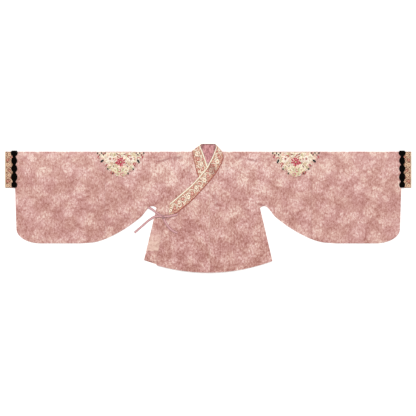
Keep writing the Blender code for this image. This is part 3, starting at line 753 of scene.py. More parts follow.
def tube(
    line: Array, radius: Union[float, Array], sides: int, rise: float = 1.0
) -> tuple[Array, list[list[int]]]:
    """Carries a circle or ellipse along a line to make a closed cord with flat ends.

    The circle stands on the line's direction in plan and on the upward direction.

    Args:
        line: Points of the line, one a row.
        radius: Half width of the cord, one value or one for each point.
        sides: Corners of the circle.
        rise: Height of the cord over its width.

    Returns:
        Points and faces of the cord.
    """
    _, aside = headings(line)
    turn = np.linspace(0.0, 2 * math.pi, sides, endpoint=False)
    reach = np.broadcast_to(radius, len(line))[:, None]
    x = line[:, :1] + aside[:, :1] * reach * np.cos(turn)
    y = line[:, 1:2] + aside[:, 1:2] * reach * np.cos(turn)
    z = line[:, 2:] + reach * rise * np.sin(turn)
    return layer(x, y, z).reshape(-1, 3), tube_faces(len(line), sides)


@dataclass
class Heap:
    """Many small closed shapes that are gathered into one mesh, each with its colour."""

    points: list[Array] = field(default_factory=list)
    faces: list[list[int]] = field(default_factory=list)
    uv: list[Array] = field(default_factory=list)
    colour: list[Array] = field(default_factory=list)

    def add(self, points: Array, faces: list[list[int]], uv: Array, colour: Union[Array, Triple]) -> None:
        """Adds one shape.

        Args:
            points: Its points.
            faces: Its faces, as lists of node numbers.
            uv: Pattern positions of its points.
            colour: One colour, or one for each point.
        """
        start = sum(len(part) for part in self.points)
        self.points.append(points)
        self.faces.extend([[node + start for node in face] for face in faces])
        self.uv.append(uv)
        whole = np.ones((len(points), 4))
        whole[:, :3] = colour
        self.colour.append(whole)

    def sheet(self) -> Sheet:
        """Joins all that was added into one wall with a thread colour on each point."""
        marks = {"thread": np.concatenate(self.colour)}
        return Sheet(np.concatenate(self.points), self.faces, np.concatenate(self.uv), marks)


def petal_shapes(table: Array, height_of: HeightOf, rows: int = 7, columns: int = 5) -> tuple[Array, ...]:
    """Builds many low domed petals at once, each lying on the cloth.

    A petal's middle line leaves its foot at an angle and bends steadily. Its half width
    is the sine of its length's share, moved towards the tip, and its top is a dome: one
    minus the square of the place across, times the root of the sine along.

    Args:
        table: One row a petal: x, y, angle, length, width, height, bend, lift and fullness.
        height_of: Gives the cloth's top face at plan positions.
        rows: Nodes along a petal.
        columns: Nodes across it.

    Returns:
        Points (petals, nodes, 3), faces of one petal, pattern positions of its nodes and
        the share of the length at each node.
    """
    x0, y0, angle, length, width, height, bend, lift, full = [column[:, None, None] for column in table.T]
    along = np.linspace(0.02, 0.98, rows)[None, :, None]
    across = np.linspace(-1.0, 1.0, columns)[None, None, :]
    heading = angle + bend * along / 2
    half = width / 2 * np.sin(math.pi * along ** full) ** 0.8
    x = x0 + length * along * np.cos(heading) - half * across * np.sin(heading + bend * along / 2)
    y = y0 + length * along * np.sin(heading) + half * across * np.cos(heading + bend * along / 2)
    base = height_of(x.reshape(len(table), -1), y.reshape(len(table), -1)).reshape(x.shape)
    dome = height * (1.0 - across ** 2) * np.sqrt(np.sin(math.pi * along)) + 0.00015
    top = layer(x, y, base + lift + dome)
    foot = layer(x, y, base + lift - 0.0001)
    points = np.concatenate([top.reshape(len(table), -1, 3), foot.reshape(len(table), -1, 3)], axis=1)
    faces = wall_faces(rows, columns)
    share = np.tile(np.broadcast_to(along[0], (rows, columns)).ravel(), 2)
    aside = np.tile(np.broadcast_to(across[0], (rows, columns)).ravel(), 2)
    return points, faces, layer(share, aside), share


def dress(
    item: Item,
    nodes: Sequence[str] = (),
) -> Item:
    """Puts a finished piece on the frame: its body and what it replaces.

    Args:
        item: The piece.
        nodes: Solids that the piece stands for.

    Returns:
        The piece.
    """
    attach(item, BODY)
    if nodes:
        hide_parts(*nodes)
    faces = len(item.data.polygons)
    LOG.info("%s: %d faces, stands for %s", item.name, faces, ", ".join(nodes) or "sewn-on detail")
    return item


# Shader maths


def arithmetic(operation: str, turned: bool = False) -> Callable:
    """Makes an operator that adds a Math node.

    Args:
        operation: Kind of the node.
        turned: Whether the other number comes first.

    Returns:
        The operator.
    """
    def operator(self: "Value", other: Operand) -> "Value":
        """Joins the two numbers."""
        pair = (other, self) if turned else (self, other)
        return self.graph.math(operation, *pair)

    return operator


class Value:
    """A number that changes over a surface, with arithmetic that adds Math nodes."""

    def __init__(self, graph: "Graph", socket: bpy.types.NodeSocket) -> None:
        """Keeps the socket and the graph that it belongs to."""
        self.graph = graph
        self.socket = socket

    def __abs__(self) -> "Value":
        """Drops the sign."""
        return self.graph.math("ABSOLUTE", self)

    __add__ = __radd__ = arithmetic("ADD")
    __mul__ = __rmul__ = arithmetic("MULTIPLY")
    __sub__ = arithmetic("SUBTRACT")
    __rsub__ = arithmetic("SUBTRACT", turned=True)


Operand = Union[Value, float, int]
Tint = Union[Value, Triple]


class Graph:
    """The node tree of one material."""

    def __init__(self, name: str) -> None:
        """Starts an empty tree in a new material.

        Args:
            name: Name of the material.
        """
        self.material = bpy.data.materials.new(name)
        self.material.use_nodes = True
        self.tree = self.material.node_tree
        self.tree.nodes.clear()

    def node(self, kind: str, settings: dict, inputs: dict) -> bpy.types.Node:
        """Adds a node of any kind.

        Args:
            kind: The node's type.
            settings: Its properties, set first; stops are those of a colour ramp.
            inputs: Values or links of its sockets, by name or number.

        Returns:
            The node.
        """
        node = self.tree.nodes.new(kind)
        for key, setting in settings.items():
            if key == "stops":
                ramp = node.color_ramp.elements
                while len(ramp) < len(setting):
                    ramp.new(0.5)
                for element, (position, colour) in zip(ramp, setting):
                    element.position = position
                    element.color = (*colour, 1.0)
            else:
                setattr(node, key, setting)
        for key, given in inputs.items():
            socket = node.inputs[key]
            if isinstance(given, Value):
                self.tree.links.new(given.socket, socket)
            elif isinstance(given, tuple) and socket.type == "RGBA":
                socket.default_value = (*given, 1.0)
            else:
                socket.default_value = given
        return node

    def give(self, kind: str, settings: dict, inputs: dict, output: Union[int, str] = 0) -> Value:
        """Adds a node and gives one of its outputs."""
        return Value(self, self.node(kind, settings, inputs).outputs[output])

    def math(self, operation: str, *operands: Operand) -> Value:
        """Adds a Math node and gives its result."""
        return self.give("ShaderNodeMath", {"operation": operation}, dict(enumerate(operands)))

    def vector(self, operation: str, *operands: Union[Value, Triple]) -> Value:
        """Adds a Vector Math node and gives its vector."""
        return self.give("ShaderNodeVectorMath", {"operation": operation}, dict(enumerate(operands)))

    def length(self, vector: Value) -> Value:
        """Length of a vector."""
        return self.give("ShaderNodeVectorMath", {"operation": "LENGTH"}, {0: vector}, 1)

    def place(self) -> Value:
        """The piece's own coordinates, which are the jacket's."""
        return self.give("ShaderNodeTexCoord", {}, {}, "Object")

    def pattern_place(self) -> Value:
        """The piece's pattern map."""
        return self.give("ShaderNodeUVMap", {"uv_map": "UVMap"}, {})

    def mark(self, name: str, output: str = "Fac") -> Value:
        """A number or a colour kept on the piece's points."""
        return self.give("ShaderNodeAttribute", {"attribute_name": name}, {}, output)

    def split(self, vector: Value) -> list[Value]:
        """Splits a vector into its three numbers."""
        node = self.node("ShaderNodeSeparateXYZ", {}, {0: vector})
        return [Value(self, output) for output in node.outputs]

    def join(self, x: Operand, y: Operand, z: Operand = 0.0) -> Value:
        """Makes a vector of three numbers."""
        return self.give("ShaderNodeCombineXYZ", {}, {0: x, 1: y, 2: z})

    def noise(
        self, vector: Value, scale: float, detail: float = 2.0, rough: float = 0.5, output: int = 0
    ) -> Value:
        """Soft noise from 0 to 1 with its middle near one half, or its three parts from output 1."""
        inputs = {"Vector": vector, "Scale": scale, "Detail": detail, "Roughness": rough}
        return self.give("ShaderNodeTexNoise", {}, inputs, output)

    def drift(self, vector: Value, scale: float, size: float) -> Value:
        """Moves a place by soft noise, so that a repeat is never quite the same twice."""
        aside = self.vector("SUBTRACT", self.noise(vector, scale, 1.0, 0.5, 1), (0.5, 0.5, 0.5))
        return self.vector("ADD", vector, self.vector("MULTIPLY", aside, (size, size, 0.0)))

    def smooth(self, value: Value, low: float, high: float, start: float = 0.0, end: float = 1.0) -> Value:
        """Runs from start at low to end at high with level ends."""
        inputs = {"Value": value, "From Min": low, "From Max": high, "To Min": start, "To Max": end}
        return self.give("ShaderNodeMapRange", {"interpolation_type": "SMOOTHSTEP"}, inputs)

    def mix(self, share: Operand, first: Tint, second: Tint) -> Value:
        """Mixes two colours."""
        return self.give("ShaderNodeMix", {"data_type": "RGBA"}, {0: share, 6: first, 7: second}, 2)

    def mix_vector(self, share: Operand, first: Value, second: Value) -> Value:
        """Mixes two vectors."""
        return self.give("ShaderNodeMix", {"data_type": "VECTOR"}, {0: share, 4: first, 5: second}, 1)

    def tint(self, colour: Tint, other: Tint) -> Value:
        """Multiplies a colour by another one."""
        settings = {"data_type": "RGBA", "blend_type": "MULTIPLY"}
        return self.give("ShaderNodeMix", settings, {0: 1.0, 6: colour, 7: other}, 2)

    def shade(self, colour: Tint, amount: Operand) -> Value:
        """Multiplies a colour by a grey number."""
        return self.tint(colour, self.join(amount, amount, amount))

    def ramp(self, value: Value, stops: Sequence[tuple[float, Triple]]) -> Value:
        """Colours a number by its place between stops."""
        return self.give("ShaderNodeValToRGB", {"stops": stops}, {0: value})

    def bump(self, height: Value, depth: float) -> Value:
        """Turns a height from 0 to 1 into a normal, for a relief of that depth in metres."""
        inputs = {"Height": height, "Distance": depth, "Strength": 1.0}
        return self.give("ShaderNodeBump", {}, inputs)

    def finish(
        self,
        colour: Tint,
        rough: Operand,
        normal: Value,
        sheen: float,
        shine: float,
        **more: Union[float, tuple],
    ) -> Material:
        """Ends the tree with a cloth shader.

        Args:
            colour: Base colour.
            rough: Roughness.
            normal: Normal with the cloth's relief.
            sheen: Weight of the soft sheen, the same all over.
            shine: Specular level, the same all over.
            more: Other fixed values of the shader, by their socket's name.

        Returns:
            The finished material.
        """
        inputs = {
            "Base Color": colour,
            "Roughness": rough,
            "Normal": normal,
            "Sheen Weight": sheen,
            "Sheen Roughness": 0.45,
            "Specular IOR Level": shine,
            **more,
        }
        cloth = self.node("ShaderNodeBsdfPrincipled", {}, inputs)
        self.node("ShaderNodeOutputMaterial", {}, {0: Value(self, cloth.outputs[0])})
        return self.material


@dataclass(frozen=True)
class Repeat:
    """Motifs of one kind that recur over a rectangle, each with its middle, radius and turn."""

    width: float
    height: float
    motifs: tuple[Row, ...]

    def nearest(self, graph: Graph, point: Value) -> tuple[Value, Value]:
        """Finds the nearest motif by its own measure and gives the place in it.

        Args:
            graph: Graph to add nodes to.
            point: Place in the pattern.

        Returns:
            Distance from the motif's middle in radii, and the angle round it.
        """
        half = (self.width / 2, self.height / 2, 1.0)
        low = (-self.width / 2, -self.height / 2, -1.0)
        best = None
        for x, y, radius, turned in self.motifs:
            offset = graph.vector("SUBTRACT", point, (x, y, 0.0))
            offset = graph.vector("WRAP", offset, half, low)
            offset = graph.vector("MULTIPLY", offset, (1.0 / radius, 1.0 / radius, 0.0))
            reach = graph.length(offset)
            if best is None:
                best, distance, turn = offset, reach, turned
            else:
                closer = graph.math("LESS_THAN", reach, distance)
                best = graph.mix_vector(closer, best, offset)
                distance = graph.math("MINIMUM", reach, distance)
                turn = turn + (turned - turn) * closer
        x, y, _ = graph.split(best)
        return distance, graph.math("ARCTAN2", y, x) + turn


def petal_wave(graph: Graph, angle: Value, petals: float, shift: float = 0.0) -> Value:
    """Goes from 0 between petals to 1 at each petal's middle: the cosine, without its sign."""
    return abs(graph.math("COSINE", angle * (petals / 2) + shift))


# Finishes


@dataclass(frozen=True)
class RoseJacquard:
    """Dusty rose figured silk: pale open blossoms and darker leaf clusters in one tone."""

    tones: tuple[tuple[float, Triple], ...] = (
        (0.0, (0.372, 0.15, 0.124)),
        (0.3, (0.52, 0.262, 0.23)),
        (0.5, (0.606, 0.338, 0.304)),
        (0.7, (0.708, 0.447, 0.4)),
        (1.0, (0.88, 0.69, 0.615)),
    )
    warm: Triple = (0.7, 0.48, 0.37)
    faded: Triple = (0.88, 0.65, 0.54)
    # Colour of the painted shade in troughs, seams and beside the flap
    crease: Triple = (0.33, 0.11, 0.105)
    mauve: Triple = (1.002, 0.98, 1.014)
    tan: Triple = (1.003, 1.008, 0.984)
    blossoms: Repeat = Repeat(0.214, 0.231, (
        (0.05, 0.038, 0.038, 0.4), (0.079, 0.127, 0.04, 1.9), (0.128, 0.222, 0.037, 3.0),
        (0.206, 0.158, 0.031, 0.9), (0.18, 0.012, 0.025, 2.2), (0.136, 0.098, 0.019, 1.3),
        (0.01, 0.212, 0.023, 2.7),
    ))
    leaves: Repeat = Repeat(0.214, 0.231, (
        (0.112, 0.034, 0.04, 0.2), (0.176, 0.094, 0.042, 1.5), (0.06, 0.196, 0.038, 2.8),
        (0.008, 0.098, 0.034, 0.7), (0.15, 0.172, 0.03, 2.1),
    ))

    def material(self) -> Material:
        """Builds the cloth in tones from deep to cream, a little paler at the shoulders from a painted
        highlight, with painted shade in its troughs and seams.

        Returns:
            The finished material.
        """
        graph = Graph("rose_jacquard")
        x, y, _ = graph.split(graph.place())
        flat = graph.pattern_place()
        point = graph.drift(graph.drift(flat, 13.0, 0.03), 46.0, 0.012)
        body = graph.smooth(abs(x), 0.48, 0.28)
        tone = 0.408 + self.blossom_tone(graph, point) + self.leaf_tone(graph, point)
        tone = tone + self.mottling(graph, flat, point) * (1.0 + body * 0.2)
        # Painted highlight rising towards the shoulder fold, and a lighter band across the chest
        tone = tone + graph.smooth(y, 0.08, 0.27, 0.0, 0.14) + graph.smooth(y, -0.08, 0.08) * body * 0.075
        # Darker low on the body
        colour = graph.ramp(tone - graph.smooth(y, -0.02, -0.26) * body * 0.08, self.tones)
        yellowed = graph.smooth(graph.noise(flat, 17.0, 2.0), 0.46, 0.66) * graph.smooth(tone, 0.3, 0.75)
        colour = graph.mix(yellowed * 0.13, colour, self.warm)
        hue = graph.smooth(graph.noise(flat, 9.0, 3.0, 0.6), 0.4, 0.6)
        colour = graph.tint(colour, graph.mix(hue, self.mauve, self.tan))
        faded = graph.mark("pale") * graph.smooth(graph.noise(flat, 60.0, 3.0), 0.3, 0.65, 0.35, 0.8)
        colour = graph.mix(faded, colour, self.faded)
        # Painted shade: mixes towards the crease colour where the piece's shade mark is high
        colour = graph.mix(graph.mark("hollow") * 0.75, colour, self.crease)
        relief = graph.smooth(tone, 0.1, 0.9) * 0.7 + self.weave(graph, x, y) * 0.3
        return graph.finish(colour, 0.68 - tone * 0.16, graph.bump(relief, 0.0003), 0.12, 0.28)

    def blossom_tone(self, graph: Graph, point: Value) -> Value:
        """Lightens the open blossoms: two rings of petals, dark notches and a dark eye.

        Args:
            graph: Graph to add nodes to.
            point: Place in the pattern.

        Returns:
            What the blossoms add to the tone.
        """
        reach, angle = self.blossoms.nearest(graph, point)
        wave = petal_wave(graph, angle, 5.0)
        inner_wave = petal_wave(graph, angle, 7.0, 0.7)
        petals = graph.smooth(reach - wave * 0.3, 1.02, 0.55)
        ring = graph.smooth(abs(reach - (0.42 + inner_wave * 0.16)), 0.12, 0.02)
        notch = graph.smooth(wave, 0.4, 0.02) * graph.smooth(reach, 0.35, 0.7)
        outline = graph.smooth(abs(reach - (0.74 + wave * 0.28)), 0.11, 0.01)
        eye = graph.smooth(reach, 0.22, 0.08)
        return petals * (0.25 - ring * 0.19 - notch * 0.2 - eye * 0.16) - outline * 0.07

    def leaf_tone(self, graph: Graph, point: Value) -> Value:
        """Darkens the ground round each leaf cluster and draws its pointed leaves.

        Args:
            graph: Graph to add nodes to.
            point: Place in the pattern.

        Returns:
            What the leaves add to the tone.
        """
        reach, angle = self.leaves.nearest(graph, point)
        wave = petal_wave(graph, angle, 5.0)
        leaf = graph.smooth(reach - wave * wave * 0.75, 0.36, 0.14)
        vein = graph.smooth(wave, 0.955, 0.995) * leaf
        ground = graph.smooth(reach, 1.25, 0.5)
        return leaf * 0.14 - vein * 0.12 - ground * 0.16

    def mottling(self, graph: Graph, flat: Value, point: Value) -> Value:
        """Adds woven curls, dots and upright dabs of 5 to 20 mm between the figures.

        Args:
            graph: Graph to add nodes to.
            flat: Place on the flat cloth.
            point: Place in the pattern.

        Returns:
            What the mottling adds to the tone.
        """
        curl = graph.smooth(abs(graph.noise(point, 30.0, 1.0) - 0.5), 0.055, 0.012)
        bright = graph.smooth(abs(graph.noise(point, 41.0, 1.0) - 0.45), 0.05, 0.01)
        upright = graph.vector("MULTIPLY", flat, (1.0, 0.55, 1.0))
        dabs = graph.noise(upright, 125.0, 3.0, 0.62) - 0.5
        clouds = graph.noise(flat, 21.0, 3.0, 0.6) - 0.5
        washes = graph.noise(flat, 10.5, 2.0) - 0.5
        grain = graph.noise(flat, 240.0, 2.0, 0.6) - 0.5
        return bright * 0.09 - curl * 0.1 + dabs * 1.55 + grain * 0.75 + clouds * 0.38 + washes * 0.42

    def weave(self, graph: Graph, x: Value, y: Value) -> Value:
        """Diagonal ribs of the satin ground, 1.1 mm apart."""
        return 0.5 + graph.math("SINE", (x + y * 0.6) * 5700.0) * 0.5


@dataclass(frozen=True)
class FlowerBrocade:
    """Brocade with cream rosettes, coral flowers, gold leaves and winding stems."""

    name: str
    ground: Triple
    coral: Triple
    crimson: Triple
    cream: Triple
    gold: Triple
    outline: Triple
    stretch: float
    dark_stretch_from: float = 9.0
    dark_stretch_to: float = 9.1
    edge_at: float = 9.0
    edge: Triple = (0.6, 0.45, 0.3)
    rosettes: Repeat = Repeat(0.118, 0.2, (
        (0.01, 0.005, 0.0115, 0.3), (0.07, -0.004, 0.0105, 1.2), (0.034, -0.015, 0.006, 0.5),
        (0.094, 0.015, 0.006, 0.9),
    ))
    corals: Repeat = Repeat(0.118, 0.2, (
        (0.036, 0.006, 0.0085, 0.6), (0.096, -0.005, 0.008, 2.0), (0.054, -0.017, 0.006, 0.0),
        (0.084, 0.018, 0.0055, 0.0), (0.022, 0.019, 0.005, 0.0),
    ))
    sprigs: Repeat = Repeat(0.059, 0.2, (
        (0.024, 0.015, 0.0105, 0.4), (0.05, 0.016, 0.009, 1.9), (0.016, -0.016, 0.01, 2.6),
        (0.041, -0.015, 0.0105, 1.1),
    ))

    def material(self) -> Material:
        """Lays the figures over the ground, each with a fine brown outline.

        Returns:
            The finished material.
        """
        graph = Graph(self.name)
        u, v, _ = graph.split(graph.pattern_place())
        u = u * self.stretch
        point = graph.drift(graph.drift(graph.join(u, v), 38.0, 0.01), 130.0, 0.0035)
        speckle = graph.noise(point, 260.0, 2.0)
        cloud = graph.noise(point, 115.0, 2.0)
        colour = graph.mix(graph.smooth(speckle * 0.6 + cloud * 0.4, 0.49, 0.54), self.ground, self.cream)
        scroll = graph.smooth(abs(graph.noise(point, 105.0, 1.0) - 0.5), 0.062, 0.025)
        colour = graph.mix(scroll * 0.85, colour, self.outline)
        dot = graph.smooth(graph.noise(point, 150.0, 0.0), 0.66, 0.72)
        colour = graph.mix(dot * 0.8, colour, self.crimson)
        colour, leaf = self.lay_sprigs(graph, point, colour)
        colour = self.lay_stem(graph, u, v, colour)
        colour = self.lay_flower(graph, self.corals, point, colour, self.coral, self.cream, 5.0)
        colour = self.lay_flower(graph, self.rosettes, point, colour, self.cream, self.gold, 6.0)
        # A darker stretch across the band between two places along it
        dark_stretch = graph.smooth(u, self.dark_stretch_from, self.dark_stretch_from + 0.003)
        dark_stretch = dark_stretch * graph.smooth(u, self.dark_stretch_to, self.dark_stretch_to - 0.003)
        colour = graph.mix(dark_stretch * (0.3 + speckle * 0.5), colour, self.outline)
        colour = graph.mix(graph.smooth(v, self.edge_at, self.edge_at + 0.001), colour, self.edge)
        threads = graph.math("SINE", u * 7800.0) * 0.25 + graph.math("SINE", v * 6300.0) * 0.25 + 0.5
        relief = graph.bump(threads * 0.3 + leaf * 0.3 + speckle * 0.4, 0.0003)
        return graph.finish(colour, 0.6 - leaf * 0.12, relief, 0.12, 0.3)

    def lay_flower(
        self,
        graph: Graph,
        repeat: Repeat,
        point: Value,
        under: Value,
        petal: Triple,
        heart: Triple,
        count: float,
    ) -> Value:
        """Lays flowers of one kind: outlined petals round a ringed heart.

        Args:
            graph: Graph to add nodes to.
            repeat: Where the flowers are.
            point: Place in the pattern.
            under: Colour that they lie on.
            petal: Colour of the petals.
            heart: Colour of the ring at the heart.
            count: Petals of each flower.

        Returns:
            The colour with the flowers on it.
        """
        reach, angle = repeat.nearest(graph, point)
        wave = petal_wave(graph, angle, count)
        edge = 0.62 + wave * 0.36
        colour = graph.mix(graph.smooth(reach - edge, 0.32, 0.14), under, self.outline)
        shaded = graph.shade(petal, 0.8 + wave * 0.28)
        colour = graph.mix(graph.smooth(reach - edge, 0.08, -0.02), colour, shaded)
        colour = graph.mix(graph.smooth(abs(reach - 0.36), 0.13, 0.05), colour, heart)
        return graph.mix(graph.smooth(reach, 0.22, 0.12), colour, self.crimson)

    def lay_sprigs(self, graph: Graph, point: Value, under: Value) -> tuple[Value, Value]:
        """Lays the small gold leaf sprigs along both edges.

        Args:
            graph: Graph to add nodes to.
            point: Place in the pattern.
            under: Colour that they lie on.

        Returns:
            The colour with the sprigs on it, and where the leaves are.
        """
        reach, angle = self.sprigs.nearest(graph, point)
        wave = petal_wave(graph, angle, 3.0)
        edge = 0.25 + wave * wave * 0.75
        leaf = graph.smooth(reach - edge, 0.1, -0.1)
        colour = graph.mix(graph.smooth(reach - edge, 0.3, 0.12) * 0.75, under, self.outline)
        return graph.mix(leaf * 0.8, colour, self.gold), leaf

    def lay_stem(self, graph: Graph, u: Value, v: Value, under: Value) -> Value:
        """Lays two stems that wind along the band as sine lines, edged in brown.

        Args:
            graph: Graph to add nodes to.
            u: Place along the band.
            v: Place across the band.
            under: Colour that they lie on.

        Returns:
            The colour with the stems on it.
        """
        colour = under
        for size, turn in ((0.015, 0.6), (0.0115, 3.4)):
            line = graph.math("SINE", u * (2 * math.pi / self.sprigs.width) + turn) * size
            away = abs(v - line)
            colour = graph.mix(graph.smooth(away, 0.0046, 0.0028) * 0.9, colour, self.outline)
            colour = graph.mix(graph.smooth(away, 0.0028, 0.0017), colour, self.cream)
        return colour


@dataclass(frozen=True)
class PlainCloth:
    """A plain or ribbed cloth in one colour, darker in its folds and at its edges by painted shade."""

    name: str
    light: Triple
    dark: Triple
    rough: float
    sheen: float
    rib: float
    slant: float
    depth: float = 0.0002
    patchiness: float = 0.19
    end_at: float = -9.0
    end_tint: Triple = (0.7, 0.44, 0.3)

    def material(self) -> Material:
        """Varies the colour softly, darkens it by the piece's painted shade and raises slanted ribs across
        the pattern map.

        Returns:
            The finished material.
        """
        graph = Graph(self.name)
        place = graph.pattern_place()
        u, v, _ = graph.split(place)
        upright = graph.vector("MULTIPLY", place, (1.0, 0.35, 1.0))
        cloud = graph.noise(upright, 110.0, 3.0)
        fine = graph.noise(upright, 500.0, 2.0)
        share = graph.smooth(cloud * 0.6 + fine * 0.4, 0.5 - self.patchiness, 0.5 + self.patchiness)
        colour = graph.mix(share, self.dark, self.light)
        colour = graph.mix(graph.smooth(u, self.end_at, self.end_at - 0.002), colour, self.end_tint)
        # Painted shade: the colour is darkened by the shade mark kept on the piece's points
        colour = graph.shade(colour, 1.0 - graph.mark("hollow") * 0.62)
        ribs = graph.math("SINE", (u + v * self.slant) * (2 * math.pi / self.rib)) * 0.5 + 0.5
        relief = graph.bump(ribs * 0.7 + fine * 0.3, self.depth)
        shine = 0.03 if self.sheen == 0.0 else 0.35
        return graph.finish(colour, self.rough + (fine - 0.5) * 0.16, relief, self.sheen, shine)


@dataclass(frozen=True)
class StitchedThread:
    """Silk thread whose colour is kept on each stitch, with fine strands along it."""

    name: str = "stitched_thread"
    strands: float = 26.0
    rough: float = 0.5

    def material(self) -> Material:
        """Reads the stitch colour, paints shading along the strands with patchy tone, and raises the strands
        across the pattern map.

        Returns:
            The finished material.
        """
        graph = Graph(self.name)
        place = graph.pattern_place()
        u, v, _ = graph.split(place)
        strand = graph.math("SINE", v * self.strands + u * 3.0) * 0.5 + 0.5
        patchy = graph.noise(graph.place(), 380.0, 2.0)
        # Painted shading of the strands, with random patchy tone
        tint = 0.84 + strand * 0.12 + patchy * 0.14
        colour = graph.shade(graph.mark("thread", "Color"), tint)
        return graph.finish(colour, self.rough + patchy * 0.1, graph.bump(strand, 0.00015), 0.1, 0.4)


@dataclass(frozen=True)
class SatinGround:
    """Ivory satin ground of a patch, olive low down, blush in clouds, lost in rose at its rim."""

    cream: Triple = (0.97, 0.86, 0.68)
    olive: Triple = (0.69, 0.58, 0.36)
    blush: Triple = (0.8, 0.48, 0.39)
    outline: Triple = (0.43, 0.21, 0.15)
    rose: Triple = (0.64, 0.38, 0.34)

    def material(self) -> Material:
        """Clouds of three colours with fine drawn lines and satin ribs.

        Returns:
            The finished material.
        """
        graph = Graph("patch_silk")
        place = graph.place()
        x, y, _ = graph.split(place)
        point = graph.drift(place, 45.0, 0.012)
        cloud = graph.noise(point, 42.0, 2.0)
        fine = graph.noise(graph.vector("MULTIPLY", place, (1.0, 0.4, 1.0)), 420.0, 2.0)
        low_down = graph.smooth(y, 0.225, 0.18, 0.0, 0.09)
        colour = graph.mix(graph.smooth(cloud + low_down, 0.53, 0.61) * 0.85, self.cream, self.olive)
        colour = graph.mix(graph.smooth(cloud, 0.47, 0.4) * 0.8, colour, self.blush)
        drawn = graph.smooth(abs(graph.noise(point, 70.0, 1.0) - 0.5), 0.05, 0.012)
        colour = graph.mix(drawn * 0.52, colour, self.outline)
        frayed = graph.mark("rim") + graph.noise(place, 60.0, 2.0) * 0.35
        colour = graph.mix(graph.smooth(frayed, 1.07, 1.15), colour, self.rose)
        colour = graph.shade(colour, 0.84 + fine * 0.3)
        ribs = graph.math("SINE", (x - y) * 6300.0) * 0.5 + 0.5
        relief = graph.bump(ribs * 0.5 + fine * 0.5, 0.0002)
        return graph.finish(colour, 0.52 + fine * 0.1, relief, 0.12, 0.4)


ROSE = RoseJacquard()
COLLAR = FlowerBrocade(
    "collar_brocade",
    ground=(0.73, 0.345, 0.25),
    coral=(0.6, 0.19, 0.15),
    crimson=(0.45, 0.04, 0.055),
    cream=(1.0, 0.905, 0.72),
    gold=(0.68, 0.39, 0.26),
    outline=(0.255, 0.058, 0.042),
    stretch=1.0,
    dark_stretch_from=0.292,
    dark_stretch_to=0.336,
)
CUFF = FlowerBrocade(
    "cuff_brocade",
    ground=(0.4, 0.145, 0.088),
    coral=(0.43, 0.11, 0.08),
    crimson=(0.33, 0.035, 0.03),
    cream=(0.815, 0.55, 0.37),
    gold=(0.39, 0.22, 0.12),
    outline=(0.09, 0.026, 0.018),
    stretch=1.1,
    edge_at=0.0145,
)
CREAM_SATIN = PlainCloth(
    "cream_piping", (0.99, 0.93, 0.76), (0.89, 0.8, 0.62), 0.45, 0.1, 0.0016, 0.8, end_at=0.022
)
RED_SATIN = PlainCloth(
    "red_piping", (0.48, 0.115, 0.085), (0.32, 0.065, 0.05), 0.48, 0.05, 0.0016, 0.8, end_at=0.03
)
PINK_LINING = PlainCloth(
    "neck_lining", (0.74, 0.37, 0.375), (0.37, 0.125, 0.135), 0.58, 0.15, 0.0012, 0.0, patchiness=0.08
)
BLACK_CORD = PlainCloth(
    "black_braid", (0.005, 0.0035, 0.003), (0.001, 0.0007, 0.0006), 0.9, 0.0, 0.0018, 0.7, 0.0004
)
TIE_ROSE = PlainCloth("tie_cloth", (0.71, 0.4, 0.415), (0.59, 0.29, 0.3), 0.58, 0.15, 0.0011, 0.5)
THREAD = StitchedThread()


# Pieces of the jacket


